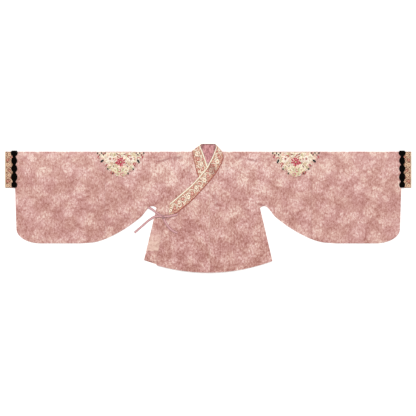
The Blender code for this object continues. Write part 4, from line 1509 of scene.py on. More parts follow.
@dataclass
class BodyHalf:
    """A body half: back and front in one piece over the shoulder, with the sleeve root."""

    plan: LaidJacket
    side: Side
    front_centre: float
    front_top: Callable[[Array], Array]
    hem_of: Callable[[Array], Array]
    top_height: HeightOf
    flat: tuple[float, float] = (0.533, 1.25)
    area: float = 0.531
    neck_cells: int = 17
    torso_cells: int = 46
    root_cells: int = 60
    skirt_rows: int = 56
    chest_rows: int = 68
    fold_rows: int = 8
    strip_foot_y: float = -0.2215
    seam_bulge: float = 0.0007

    def columns(self) -> tuple[Array, Array]:
        """Gives x of the grid's columns on the back and on the front, from the centre out.

        Returns:
            x of the back's columns and x of the front's.
        """
        plan, sign = self.plan, self.side.value
        gap = plan.seam_gap / 2
        neck = np.linspace(0.0, plan.neck_half, self.neck_cells + 1)
        torso = np.linspace(plan.neck_half, plan.side_top_x, self.torso_cells + 1)[1:]
        end = plan.sleeve_seam_x - gap
        root = np.linspace(plan.side_top_x, end - 0.0045, self.root_cells - 2)[1:]
        back = np.concatenate([neck, torso, root, [end - 0.0028, end - 0.0012, end]])
        back[0] = gap
        shift = np.clip(1.0 - back / plan.neck_half, 0.0, None)
        return sign * back, sign * (back + (self.front_centre * sign - back[0]) * shift)

    def panel(self, columns: Array, centre: float, top: Array, hem_of: Callable) -> tuple[Array, Array]:
        """Gives x and y of a panel's nodes, from the hem in row 0 up to the top edge.

        Below the armpit the columns fan out to the wider hem. Beyond the armpit the
        panel starts at the underarm line.

        Args:
            columns: x of the columns at the chest.
            centre: x of the centre edge.
            top: y of the top edge at each column.
            hem_of: Gives the hem line.

        Returns:
            x and y of the nodes.
        """
        plan, sign = self.plan, self.side.value
        torso = self.neck_cells + self.torso_cells + 1
        from_centre = (columns - centre) / (sign * plan.side_top_x - centre)
        foot = columns + sign * (plan.hem_corner_x - plan.side_top_x) * np.clip(from_centre, 0.0, 1.0)
        chest_foot = np.full_like(columns, plan.side_top_y)
        chest_foot[torso:] = np.interp(np.abs(columns[torso:]), plan.underarm[:, 0], plan.underarm[:, 1])
        skirt = np.linspace(1.0, 0.0, self.skirt_rows + 1)[:, None]
        chest = np.linspace(0.0, 1.0, self.chest_rows + 1)[1:, None]
        x = np.concatenate([columns + (foot - columns) * skirt, columns + 0.0 * chest])
        y_skirt = chest_foot + (hem_of(foot) - chest_foot) * skirt
        y_skirt[:, torso:] = chest_foot[torso:]
        return x, np.concatenate([y_skirt, chest_foot + (top - chest_foot) * chest])

    def sheet(self) -> Sheet:
        """Builds the half's wall: back, turn over the shoulder, front, and the sewn side.

        Returns:
            The wall, sewn from the hem corner to the armpit and along the underarm.
        """
        plan, sign = self.plan, self.side.value
        back_x, front_x = self.columns()
        radius = plan.fold_height / 2
        folded = np.abs(back_x) > plan.neck_half - 1e-6
        back_top = np.where(folded, plan.shoulder_y - radius, plan.back_neck(back_x))
        front_top = np.where(folded, plan.shoulder_y - radius, self.front_top(front_x))
        bx, by = self.panel(back_x, sign * plan.seam_gap / 2, back_top, plan.back_hem_of)
        fx, fy = self.panel(front_x, self.front_centre, front_top, self.hem_of)
        dip = plan.seam_dip(fx, fy)
        height = self.top_height(fx, fy) - dip
        height[-1] = np.where(folded, plan.fold_height, height[-1])
        lift = plan.back_lift(bx, by)
        lift[-1] = 0.0
        angle = np.linspace(-math.pi / 2, math.pi / 2, self.fold_rows + 1)[1:-1, None]

        def turn(reach: float) -> Array:
            """Half circle over the shoulder."""
            y = plan.shoulder_y - radius + reach * np.cos(angle)
            return layer(back_x + 0 * angle, y, radius + reach * np.sin(angle))

        torso, last = self.neck_cells + self.torso_cells, len(back_x) - 1
        skirt, chest = self.skirt_rows, self.skirt_rows + self.chest_rows
        seam_rows = np.concatenate([np.arange(skirt + 1), np.full(last - torso, skirt)])
        seam_columns = np.concatenate([np.full(skirt + 1, torso), np.arange(torso + 1, last + 1)])
        height[seam_rows, seam_columns] = plan.fold_height
        lift[seam_rows, seam_columns] = 0.0
        inset_x, inset_y = np.zeros_like(bx), np.zeros_like(by)
        inset_x[: skirt + 1, torso] = -sign * plan.cloth
        inset_y[skirt, torso + 1:] = plan.cloth
        outer = np.concatenate([layer(bx, by, lift), turn(radius), layer(fx, fy, height)[::-1]])
        inner = np.concatenate([
            layer(bx + inset_x, by + inset_y, plan.cloth + lift),
            turn(radius - plan.cloth),
            layer(fx + inset_x, fy + inset_y, height - plan.cloth)[::-1],
        ])
        rows, columns = outer.shape[:2]
        cells = np.ones((rows - 1, last), dtype=bool)
        cells[:skirt, torso:] = False
        cells[rows - 1 - skirt:, torso:] = False
        cells[chest:rows - 1 - chest, : self.neck_cells] = False
        back_nodes = seam_rows * columns + seam_columns
        front_nodes = (rows - 1 - seam_rows) * columns + seam_columns
        # Painted shade on the front in troughs and along seams
        front_shade, pale = plan.hollow(fx, fy), np.zeros((rows, columns))
        if self.side is Side.RIGHT:
            # Painted shadow of the outer flap's free edge on the front under it, stronger low down
            beside = fx - plan.flap_edge(fy)
            deep = 0.3 + 0.35 * smooth_step(-0.205, -0.225, fy)
            shadow = deep * np.exp(-(beside / 0.0035) ** 2) * smooth_step(0.0, -0.03, fy)
            front_shade = np.maximum(front_shade, shadow)
            strip = smooth_step(-0.085, -0.2, fy) * smooth_step(-0.2225, -0.2195, fy)
            pale[-len(fx):] = (strip * (beside < 0.004) * (np.abs(fx) < plan.hem_corner_x + 0.001))[::-1]
            # Painted shade line along the foot of the pale strip
            front_shade = np.maximum(front_shade, 0.5 * np.exp(-((fy - self.strip_foot_y) / 0.0018) ** 2))
        fold_shade = np.zeros((len(angle), columns))
        # Painted shade, weaker on the back and none round the shoulder turn
        shade = np.concatenate([0.4 * plan.hollow(bx, by), fold_shade, front_shade[::-1]])
        return self.sew(outer, inner, cells, front_nodes, back_nodes, {"hollow": shade, "pale": pale})

    def sew(
        self, outer: Array, inner: Array, cells: Array, front: Array, back: Array, marks: dict[str, Array]
    ) -> Sheet:
        """Joins front and back along the side and the underarm with a rounded seam.

        Args:
            outer: Points of the outer face.
            inner: Points of the inner face.
            cells: Which cells are cloth.
            front: Node numbers of the front's sewn edge.
            back: Node numbers of the back's sewn edge.
            marks: Named values of the nodes.

        Returns:
            The closed wall.
        """
        rows, columns = outer.shape[:2]
        count = rows * columns
        pairs = [layer(line[:-1], line[1:]) for line in (front, back)]
        codes = np.concatenate([pair.min(axis=1) * count + pair.max(axis=1) for pair in pairs])
        faces = wall_faces(rows, columns, cells, joined=codes).tolist()
        flat = outer.reshape(-1, 3)
        _, aside = headings(flat[front])
        out = aside * (-self.side.value)
        middle = (flat[front] + flat[back]) / 2
        middle[:, :2] += out * self.seam_bulge
        crest = np.arange(len(front)) + 2 * count
        for first, second in ((front, crest), (crest, back), (back + count, front + count)):
            faces.extend(layer(first[:-1], first[1:], second[1:], second[:-1]).tolist())
        for end in (0, -1):
            cap = [front[end], crest[end], back[end], back[end] + count, front[end] + count]
            faces.append([int(node) for node in cap])
        points = np.concatenate([flat, inner.reshape(-1, 3), middle])
        seam = np.zeros(len(front))
        carried = {name: np.concatenate([mark.ravel(), mark.ravel(), seam]) for name, mark in marks.items()}
        return Sheet(points, faces, None, carried)

    def build(self, material: Material) -> Item:
        """Makes the half and puts it on the frame.

        Args:
            material: Finish of what is made.

        Returns:
            The half's cloth.
        """
        name = f"body_{self.side.word}"
        item = self.sheet().piece(f"{name}_cloth", material, (0.03 * self.side.value, 0.02))
        return dress(item, [name])


def flat_ring(plan: LaidJacket, top: Array, low: Array, rows: tuple[int, int, int]) -> tuple[Array, Array]:
    """Gives the outer and inner points of a flattened tube whose ribs run between two lines.

    Each rib goes down the front, round a half circle at the low line, up the back and
    round a half circle at the top line.

    Args:
        plan: The jacket's plan and heights.
        top: Upper end of each rib in plan.
        low: Lower end of each rib in plan.
        rows: Cells down the front, up the back and round each turn.

    Returns:
        Outer and inner points, rows by ribs by three.
    """
    front_rows, back_rows, turn_rows = rows
    radius = plan.fold_height / 2
    run = low - top
    length = np.linalg.norm(run, axis=1, keepdims=True)
    run = run / length
    angle = np.linspace(math.pi / 2, -math.pi / 2, turn_rows + 1)[1:-1][:, None]

    def spread(reach: Array) -> tuple[Array, Array]:
        """Plan places at a reach along every rib."""
        places = top[None] + run[None] * reach[..., None]
        return places[..., 0], places[..., 1]

    def loop(wall_reach: float, back_z: float, drop: float) -> Array:
        """One face of the tube, all round.

        Args:
            wall_reach: Radius of this face in both turns.
            back_z: Height of this face at the back.
            drop: How far this face lies below the front's top face.

        Returns:
            Points of the face, rows by ribs by three.
        """
        span = length[:, 0] - 2 * radius
        fx, fy = spread(radius + span * np.linspace(0.0, 1.0, front_rows + 1)[:, None])
        height = plan.inner_top(fx, fy) - plan.seam_dip(fx, fy)
        height[[0, -1]] = plan.fold_height
        bx, by = spread(radius + span * np.linspace(1.0, 0.0, back_rows + 1)[:, None])
        lift = plan.back_lift(bx, by)
        lift[[0, -1]] = 0.0
        lx, ly = spread(length[:, 0] - radius + wall_reach * np.cos(angle))
        tx, ty = spread(radius - wall_reach * np.cos(angle) + 0 * length[:, 0])
        turned = radius + wall_reach * np.sin(angle)
        parts = [
            layer(fx, fy, height - drop),
            layer(lx, ly, turned),
            layer(bx, by, back_z + lift),
            layer(tx, ty, turned)[::-1],
        ]
        return np.concatenate(parts)

    return loop(radius, 0.0, 0.0), loop(radius - plan.cloth, plan.cloth, plan.cloth)


@dataclass
class Sleeve:
    """The wide outer sleeve: a flattened tube whose ribs fan round its lower corner."""

    plan: LaidJacket
    side: Side
    flat: tuple[float, float] = (0.47, 0.95)
    area: float = 0.434
    ribs: int = 104
    rows: tuple[int, int, int] = (100, 60, 6)

    def build(self, material: Material) -> Item:
        """Makes the sleeve and puts it on the frame.

        Args:
            material: Finish of what is made.

        Returns:
            The sleeve's cloth.
        """
        plan, sign = self.plan, self.side.value
        start = plan.sleeve_seam_x + plan.seam_gap / 2
        outline = plan.outline
        first = np.array([[start, np.interp(start, plan.underarm[:, 0], plan.underarm[:, 1])]])
        line = np.concatenate([first, outline[outline[:, 0] > start]])
        low = even_points(line, self.ribs - 2)
        lead = even_points(line, 20 * self.ribs)[[0, 5, 13]]
        low = np.concatenate([lead, low[1:]])
        gone = walked(low)
        share = gone / gone[-1]
        top = layer(start + (plan.sleeve_end_x - start) * share, plan.shoulder_y)
        scale = np.array([sign, 1.0])
        outer, inner = flat_ring(plan, top * scale, low * scale, self.rows)
        # Painted shade in the troughs and along the seams
        marks = {"hollow": plan.hollow(outer[..., 0], outer[..., 1])}
        name = f"sleeve_{self.side.word}"
        wall = closed_wall(outer, inner, ring=True, marks=marks)
        item = wall.piece(f"{name}_cloth", material, (0.07, 0.05 * sign))
        return dress(item, [name])


@dataclass
class Cuff:
    """The brocade cuff: a short flattened tube beyond the sleeve's end."""

    plan: LaidJacket
    side: Side
    flat: tuple[float, float] = (0.052, 0.383)
    ribs: int = 20
    rows: tuple[int, int, int] = (70, 40, 6)
    pattern_middle: float = 1.031

    def build(self, material: Material) -> Item:
        """Makes the cuff and puts it on the frame.

        Args:
            material: Finish of what is made.

        Returns:
            The cuff's cloth.
        """
        plan = self.plan
        start = plan.sleeve_end_x + plan.seam_gap
        x = self.side.value * np.linspace(start, plan.half_span, self.ribs + 1)
        top = layer(x, plan.shoulder_y)
        low = layer(x, plan.cuff_bottom_y)
        outer, inner = flat_ring(plan, top, low, self.rows)
        uv = layer(outer[..., 1], np.abs(outer[..., 0]) - self.pattern_middle)
        marks = {"hollow": 0.0 * outer[..., 0]}
        name = f"cuff_{self.side.word}"
        item = closed_wall(outer, inner, ring=True, uv=uv, marks=marks).piece(f"{name}_cloth", material)
        return dress(item, [name])


@dataclass
class Flaps:
    """The outer flap over the chest, and the plain inner one hidden under the other front."""

    plan: LaidJacket
    outer_flat: tuple[float, float] = (0.277, 0.51)
    outer_area: float = 0.095
    inner_flat: tuple[float, float] = (0.155, 0.466)
    inner_area: float = 0.055
    inner_top_corner: tuple[float, float] = (0.128, 0.019)
    inner_foot_x: float = 0.155

    def build_outer(self, material: Material) -> Item:
        """Makes the outer flap, from the centre front seam to its free edge.

        Args:
            material: Finish of what is made.

        Returns:
            The outer flap's cloth.
        """
        plan = self.plan
        seam_x = plan.centre_x - plan.seam_gap
        line = plan.neckline(OVER_BAND)
        line = line[line[:, 0] <= seam_x][::-1]
        corner = np.array([[seam_x, float(plan.left_front_top(np.array([seam_x]))[0])]])
        top = even_points(np.concatenate([corner, line]), 61)
        share = np.concatenate([[0.0, 0.005, 0.011], np.linspace(0.0, 1.0, 59)[1:-1], [0.993, 1.0]])
        top = np.stack([np.interp(share, np.linspace(0.0, 1.0, 61), column) for column in top.T], axis=1)
        foot_x = seam_x + (plan.flap_foot_x - seam_x) * share
        foot = layer(foot_x, plan.hem_of(foot_x))
        down = np.linspace(0.0, 1.0, 96)[:, None, None]
        places = top + (foot - top) * down
        places[..., 0] -= plan.flap_bow * np.sin(math.pi * down[..., 0]) * share ** 2
        x, y = places[..., 0], places[..., 1]
        top_z = plan.outer_top(x, y) - plan.seam_dip(x, y)
        beside_seam = 0.45 * smooth_step(0.0015, 0.006, x) * smooth_step(0.16, 0.1, y)
        # Painted shade in the troughs and along the seams
        marks = {"hollow": plan.hollow(x, y), "pale": beside_seam}
        wall = closed_wall(layer(x, y, top_z), layer(x, y, top_z - plan.cloth), marks=marks)
        item = wall.piece("flap_outer_cloth", material, (0.075, -0.045))
        return dress(item, ["flap_outer"])

    def build_inner(self, material: Material) -> Item:
        """Makes the hidden inner flap, flat on the back beyond the centre.

        Args:
            material: Finish of what is made.

        Returns:
            The inner flap's cloth.
        """
        plan = self.plan
        share = np.linspace(0.0, 1.0, 24)
        seam_x = plan.seam_gap / 2
        seam_top = float(plan.right_front_top(np.array([0.0]))[0])
        top = layer(
            seam_x + (self.inner_top_corner[0] - seam_x) * share,
            seam_top + (self.inner_top_corner[1] - seam_top) * share,
        )
        foot_x = seam_x + (self.inner_foot_x - seam_x) * share
        foot = layer(foot_x, plan.inner_hem_of(foot_x))
        places = top + (foot - top) * np.linspace(0.0, 1.0, 50)[:, None, None]
        x, y = places[..., 0], places[..., 1]
        low_z = plan.cloth + plan.seam_gap
        marks = {"hollow": 0.0 * x}
        wall = closed_wall(layer(x, y, low_z + plan.cloth), layer(x, y, low_z), marks=marks)
        item = wall.piece("flap_inner_cloth", material)
        return dress(item, ["flap_inner"])


@dataclass
class Collar:
    """The long collar band, folded at both sides of the neck, with its two pipings and lining."""

    plan: LaidJacket
    width: float = 0.057
    thick: float = 0.0016
    cream_share: float = 0.1
    red_share: float = 0.072
    piping_rise: float = 0.0007
    back_inset: float = 0.1
    over_rows: int = 170
    back_rows: int = 40
    under_rows: int = 64
    turn_rows: int = 10
    band_flat: tuple[float, float] = (0.0479, 0.718)
    lining_flat: tuple[float, float] = (0.0795, 0.098)
    lining_area: float = 0.0062
    lining_thick: float = 0.0008
    lining_lap: float = 0.008
    lining_foot_y: float = 0.235
    lining_top_inset: float = 0.001
    lining_narrowing: float = 0.0155

    def stretches(self) -> tuple[tuple[Array, Array], ...]:
        """Gives the inner and outer plan edges of the front, back and under stretch.

        Returns:
            The two edges of each stretch.
        """
        plan = self.plan
        over_in, over_out = band_edges(OVER_BAND, self.over_rows)
        under_in, under_out = band_edges(UNDER_BAND, self.under_rows)
        x = np.linspace(over_out[-1][0], under_out[-1][0], self.back_rows)
        share = (x[0] - x) / (x[0] - x[-1])
        back_in = over_in[-1] + (under_in[-1] - over_in[-1]) * share[:, None]
        lift = np.minimum(1.0, np.minimum(share, 1.0 - share) / self.back_inset)
        back_in[:, 1] += (plan.collar_top_y - back_in[:, 1]) * lift
        back_out = layer(x, plan.back_neck(x) + plan.seam_gap)
        back_out[0], back_out[-1] = over_out[-1], under_out[-1]
        return (over_in, over_out), (back_in, back_out), (under_in[::-1], under_out[::-1])

    def grid(self, low: float, high: float, columns: int, crown: float) -> tuple[Array, Array, Array]:
        """Gives both faces of a lengthwise strip of the folded collar, and its pattern map.

        The strip runs up the front, turns over the neck on a half circle, crosses the
        back flat on the surface, turns again and ends under itself.

        Args:
            low: Share of the width where the strip starts.
            high: Share of the width where it ends.
            columns: Cells across it.
            crown: Rise of its middle over its edges.

        Returns:
            Outer points, inner points and pattern positions in metres.
        """
        plan = self.plan
        over, back, under = self.stretches()
        across = np.linspace(0.0, 1.0, columns + 1)
        share = low + (high - low) * across
        dome = crown * np.sqrt(np.clip(1.0 - (2.0 * across - 1.0) ** 2, 0.0, 1.0))
        radius = (plan.fold_height + plan.seam_gap + self.thick) / 2

        def spread(edges: tuple[Array, Array]) -> Array:
            """Plan places across the strip at every row."""
            return edges[0][:, None] + (edges[1] - edges[0])[:, None] * share[:, None]

        def outward(edges: tuple[Array, Array], row: int) -> Array:
            """Unit direction across the neck fold, away from the jacket.

            Args:
                edges: Inner and outer edge of the stretch.
                row: Row at the fold.

            Returns:
                The direction.
            """
            run = edges[1][row] - edges[0][row]
            aside = np.array([-run[1], run[0]])
            aside = aside if aside[1] > 0 else -aside
            return aside / np.linalg.norm(aside)

        def front(edges: tuple[Array, Array], height_of: HeightOf, fold_row: int) -> tuple[Array, Array]:
            """A stretch that lies on the fronts.

            Args:
                edges: Inner and outer edge of the stretch.
                height_of: Gives the top face of what it lies on.
                fold_row: Row at the fold.

            Returns:
                Outer and inner points.
            """
            places = spread(edges)
            places[fold_row] -= radius * outward(edges, fold_row)
            x, y = places[..., 0], places[..., 1]
            low_z = height_of(x, y) + plan.seam_gap
            return layer(x, y, low_z + self.thick + dome), layer(x, y, low_z)

        def turn(edges: tuple[Array, Array], row: int, angles: Array) -> list[Array]:
            """A half circle over the neck.

            Args:
                edges: Inner and outer edge of the stretch.
                row: Row at the fold.
                angles: Angles round the half circle.

            Returns:
                Outer and inner points.
            """
            out = outward(edges, row)
            line = edges[0][row] + (edges[1][row] - edges[0][row]) * share[:, None] - out * radius
            faces = []
            fading = dome * (0.5 + 0.5 * np.sin(angles)[:, None])
            for reach in (radius + fading, radius - self.thick + 0 * fading):
                places = line + out * (reach * np.cos(angles)[:, None])[..., None]
                faces.append(layer(places[..., 0], places[..., 1], radius + reach * np.sin(angles)[:, None]))
            return faces

        angles = np.linspace(math.pi / 2, -math.pi / 2, self.turn_rows + 1)[1:-1]
        back_places = spread(back)
        for row in (0, -1):
            back_places[row] -= radius * outward(back, row)
        bx, by = back_places[..., 0], back_places[..., 1]
        parts = [
            front(over, plan.outer_top, -1),
            turn(over, -1, angles),
            [layer(bx, by, 0.0), layer(bx, by, self.thick)],
            turn(under, 0, angles[::-1]),
            front(under, plan.inner_top, 0),
        ]
        outer, inner = [np.concatenate([part[face] for part in parts]) for face in (0, 1)]
        middle = outer[:, columns // 2]
        gone = walked(middle)
        aside = (share - 0.5) * self.width
        return outer, inner, layer(gone[:, None], aside)

    def strip(self, low: float, high: float, columns: int, crown: float) -> Sheet:
        """Builds one lengthwise strip as a wall."""
        outer, inner, uv = self.grid(low, high, columns, crown)
        return closed_wall(outer, inner, uv=uv, marks={"hollow": 0.0 * outer[..., 0]})

    def build(self, looks: dict[str, Material]) -> list[Item]:
        """Makes the band, both pipings and the lining.

        Args:
            looks: Materials by the name of their finish.

        Returns:
            The four pieces.
        """
        gap = self.plan.seam_gap / self.width
        band = self.strip(self.cream_share, 1.0 - self.red_share, 22, 0.0003)
        cream = self.strip(0.0, self.cream_share - gap, 8, self.piping_rise)
        red = self.strip(1.0 - self.red_share + gap, 1.0, 6, self.piping_rise)
        cream_cord = dress(cream.piece("piping_cream_cord", looks["cream"]), ["piping_cream"])
        red_cord = dress(red.piece("piping_red_cord", looks["red"]), ["piping_red"])
        band_cloth = band.piece("collar_band_cloth", looks["collar"])
        dress(band_cloth, ["collar_band"])
        return [band_cloth, cream_cord, red_cord, self.build_lining(looks["lining"])]

    def build_lining(self, material: Material) -> Item:
        """Makes the lining inside the neck, with soft upright pleats and painted shade along its top and side
        edges.

        Args:
            material: Finish of what is made.

        Returns:
            The lining.
        """
        plan = self.plan
        over_in, _ = band_edges(OVER_BAND, 60)
        under_in, _ = band_edges(UNDER_BAND, 60)
        top_y = plan.collar_top_y - self.lining_top_inset
        y = np.linspace(self.lining_foot_y, top_y, 40)
        right = np.interp(y, over_in[:, 1], over_in[:, 0]) + self.lining_lap
        left = np.interp(y, under_in[:, 1], under_in[:, 0]) - self.lining_lap
        narrow = self.lining_narrowing * smooth_step(plan.shoulder_y, top_y, y)
        left, right = left + narrow, right - narrow
        share = np.linspace(0.0, 1.0, 34)
        x = left[:, None] + (right - left)[:, None] * share
        pleat = 0.00018 * (1.0 + np.sin(share * 23.0 + 6.0 * share ** 2)) * smooth_step(0.0, 0.2, 1.0 - share)
        low_z = self.thick + plan.seam_gap + 0 * x
        top = layer(x, y[:, None], low_z + self.lining_thick + pleat)
        uv = layer(x, y[:, None])
        # Painted shade along the top edge, and under the collar band's edges at the sides
        rim = smooth_step(0.01, 0.0, top_y - y)[:, None] + 0.6 * smooth_step(0.22, 0.06, share)
        hollow = np.clip(rim + 0.6 * smooth_step(0.78, 0.94, share), 0.0, 0.75)
        wall = closed_wall(top, layer(x, y[:, None], low_z), uv=uv, marks={"hollow": hollow})
        lining = wall.piece("neck_lining_cloth", material)
        return dress(lining, ["neck_lining"])


def mirrored(rows: Sequence[Sequence[float]]) -> Array:
    """Doubles rows of x, y, angle and sizes by their mirror images across x = 0.

    Args:
        rows: Rows of x, y, angle and sizes.

    Returns:
        The rows, then their mirror images.
    """
    table = np.array(rows, dtype=float)
    other = table * np.where(np.arange(table.shape[1]) == 0, -1.0, 1.0)
    other[:, 2] = math.pi - other[:, 2]
    return np.concatenate([table, other])


@dataclass
class Patch:
    """A half-round patch that hangs from the shoulder fold, with stitched flowers on it."""

    plan: LaidJacket
    side: Side
    centre_x: float = 0.4526
    half_width: float = 0.127
    depth: float = 0.133
    top_inset: float = 0.004
    thick: float = 0.001
    scallops: int = 9
    scallop_depth: float = 0.004
    flattening: float = 0.17
    flat: tuple[float, float] = (0.254, 0.133)
    area: float = 0.0203
    seed: int = 21
    petal_height: float = 0.0007

    def outline(self, share: Array, angle: Array) -> tuple[Array, Array]:
        """Gives places, from the top's middle, at a share of the way to the scalloped rim.

        Args:
            share: Share of the way to the rim.
            angle: Angle round the top's middle.

        Returns:
            x and y from the top's middle.
        """
        scallop = self.scallop_depth * np.abs(np.sin((angle - math.pi) * self.scallops / 2))
        pointed = 1.0 - self.flattening * np.abs(np.sin(2 * (angle - math.pi)))
        x = share * (self.half_width * pointed - scallop) * np.cos(angle)
        return x, share * (self.depth * pointed - scallop) * np.sin(angle)

    def spot(self, x: Array, y: Array) -> tuple[Array, Array]:
        """Turns places on the patch into places on the jacket, mirrored by side."""
        return self.side.value * (self.centre_x + x), self.plan.shoulder_y - self.top_inset + y

    def top_of(self, x: Array, y: Array) -> Array:
        """Top face of the patch."""
        return self.plan.inner_top(x, y) + self.plan.seam_gap + self.thick

    def build(self, ground: Material, thread: Material) -> list[Item]:
        """Makes the patch's ground and its stitching.

        Args:
            ground: Finish of the satin ground.
            thread: Finish of the stitching.

        Returns:
            The ground and the stitched flowers.
        """
        share = np.linspace(0.0, 1.0, 34)[:, None]
        x, y = self.spot(*self.outline(share, np.linspace(math.pi, 2 * math.pi, 163)))
        top = self.top_of(x, y)
        name = f"patch_{self.side.word}"
        wall = closed_wall(layer(x, y, top), layer(x, y, top - self.thick), marks={"rim": share + 0.0 * x})
        base = wall.piece(f"{name}_ground", ground)
        flowers = self.stitching().sheet().piece(f"{name}_stitching", thread)
        dress(flowers)
        dress(base, [name])
        return [base, flowers]

    def stitching(self) -> Heap:
        """Gathers curls, leaves, blossoms and knots, the lowest first.

        Returns:
            All the threads of the patch.
        """
        heap = Heap()
        draw = np.random.default_rng(self.seed)
        self.add_curls(heap, draw)
        for tint, rows in LEAVES:
            table = layer(*mirrored(rows).T, self.petal_height, 0.5, 0.0002, 1.0)
            self.add_petals(heap, table, tint, tuple(0.7 * part for part in tint))
        for x, y, radius, petals, rings in BLOSSOMS:
            self.add_blossom(heap, draw, x, y, radius, petals, rings)
        self.add_knots(heap)
        return heap

    def add_petals(self, heap: Heap, table: Array, tip: Triple, foot: Triple) -> None:
        """Adds a set of petals that fade from one colour at the foot to another at the tip.

        Args:
            heap: Heap to add to.
            table: Rows of petals, as petal_shapes takes them.
            tip: Colour at the tips.
            foot: Colour at the feet.
        """
        place = table.copy()
        place[:, 0], place[:, 1] = self.spot(table[:, 0], table[:, 1])
        if self.side is Side.RIGHT:
            place[:, 2] = math.pi - table[:, 2]
            place[:, 6] = -table[:, 6]
        points, faces, uv, share = petal_shapes(place, self.top_of)
        fade = smooth_step(0.15, 0.75, share)[:, None]
        colour = np.asarray(foot) * (1.0 - fade) + np.asarray(tip) * fade
        for petal in points:
            heap.add(petal, faces.tolist(), uv, colour)

    def add_blossom(
        self,
        heap: Heap,
        draw: np.random.Generator,
        x: float,
        y: float,
        radius: float,
        petals: int,
        rings: Sequence,
    ) -> None:
        """Adds a blossom of several uneven rings of petals, the inner ones lying higher.

        Args:
            heap: Heap to add to.
            draw: Source of the unevenness.
            x: Middle, from the patch's middle.
            y: Middle, from the patch's top.
            radius: Radius of the outer ring.
            petals: Petals in the outer ring.
            rings: Tip and foot colour of each ring, from the outside in.
        """
        for place, (tip, foot) in enumerate(rings):
            size = radius * (1.0 - 0.29 * place)
            count = petals - place
            angle = np.linspace(0.0, 2 * math.pi, count, endpoint=False) + 0.45 * place + 60.0 * x
            angle = angle + draw.uniform(-0.16, 0.16, count)
            length = size * 0.86 * draw.uniform(0.68, 1.12, count)
            width = 3.6 * size / count * draw.uniform(0.75, 1.2, count)
            bend = draw.uniform(-0.5, 0.6, count)
            foot_x, foot_y = x + size * 0.16 * np.cos(angle), y + size * 0.16 * np.sin(angle)
            lift = 0.0003 * place
            table = layer(foot_x, foot_y, angle, length, width, self.petal_height, bend, lift, 1.5)
            self.add_petals(heap, table, tip, foot)

    def add_curls(self, heap: Heap, draw: np.random.Generator) -> None:
        """Adds rows of flat couched curls that follow the rim, each on a wider dark one.

        A curl is a spiral whose radius shrinks steadily with the turn. Its place, size
        and turn are drawn unevenly.

        Args:
            heap: Heap to add to.
            draw: Source of the unevenness.
        """
        along = np.linspace(0.0, 1.0, 30)
        uv = rolled(along * 8.0, np.linspace(-1.0, 1.0, 6))
        for share, count, tints in CURL_ROWS:
            for place in range(count):
                angle = math.pi * (1.0 + (place + draw.uniform(0.25, 0.75)) / count)
                x, y = self.outline(np.array(share + draw.uniform(-0.06, 0.05)), np.array(angle))
                turns = draw.uniform(0.65, 1.1) * (1.0 if place % 2 else -1.0)
                turn = draw.uniform(0.0, 2 * math.pi) + turns * 2 * math.pi * along
                reach = draw.uniform(0.007, 0.012) * (1.0 - 0.75 * along)
                line_x, line_y = self.spot(x + reach * np.cos(turn), y + reach * np.sin(turn))
                line = layer(line_x, line_y, self.top_of(line_x, line_y))
                bright = (0.0023, 0.0009, tints[place % len(tints)])
                for half, rise, tint in ((0.0037, 0.0005, BROWN), bright):
                    points, faces = tube(line, half * (1.0 - 0.4 * along), 6, rise / half)
                    heap.add(points, faces, uv, tint)

    def add_knots(self, heap: Heap) -> None:
        """Adds round knots at the blossoms' hearts and in staggered rows at both top corners.

        Args:
            heap: Heap to add to.
        """
        place = np.linspace(-1.0, 1.0, 5)
        uv = rolled(place, np.linspace(-1.0, 1.0, 7))
        for x, y, size, tint in KNOTS:
            for sign in (-1.0, 1.0):
                line_x, line_y = self.spot(sign * x + place * size, y + 0.0 * place)
                line = layer(line_x, line_y, self.top_of(line_x, line_y) + 0.2 * size)
                points, faces = tube(line, size * (0.25 + 0.75 * np.sqrt(1.0 - place ** 2)), 7, 0.45)
                heap.add(points, faces, uv, tint)


# Thread colours of the patches
IVORY: Triple = (1.0, 0.93, 0.79)
STRAW: Triple = (0.86, 0.71, 0.45)
OLIVE: Triple = (0.6, 0.52, 0.28)
GREEN: Triple = (0.035, 0.06, 0.025)
CRIMSON: Triple = (0.52, 0.035, 0.065)
PINK: Triple = (0.72, 0.25, 0.27)
BLUSH: Triple = (0.88, 0.6, 0.51)
MAROON: Triple = (0.17, 0.012, 0.02)
BROWN: Triple = (0.4, 0.19, 0.135)
BLACK: Triple = (0.003, 0.003, 0.003)

# Rows of curls on a patch: share of the way to the rim, how many, and their colours in turn
CURL_ROWS = (
    (0.93, 17, (BLUSH, PINK, IVORY, CRIMSON, IVORY, BLUSH, IVORY)),
    (0.72, 12, (IVORY, PINK, IVORY, STRAW, IVORY)),
    (0.5, 8, (IVORY, CRIMSON, IVORY, IVORY, PINK)),
    (0.24, 4, (PINK, IVORY, CRIMSON, IVORY)),
)

# Blossoms of a patch: middle, radius, petals, then tip and foot colour of each ring
BLOSSOMS = (
    (0.0, -0.05, 0.027, 9, ((CRIMSON, MAROON), (PINK, CRIMSON), (CRIMSON, MAROON))),
    (0.054, -0.034, 0.019, 8, ((IVORY, BLUSH), (IVORY, BROWN), (BLUSH, CRIMSON))),
    (-0.054, -0.034, 0.019, 8, ((IVORY, BLUSH), (IVORY, BROWN), (BLUSH, CRIMSON))),
    (0.028, -0.092, 0.017, 7, ((STRAW, OLIVE), (IVORY, STRAW))),
    (-0.028, -0.092, 0.017, 7, ((STRAW, OLIVE), (IVORY, STRAW))),
)

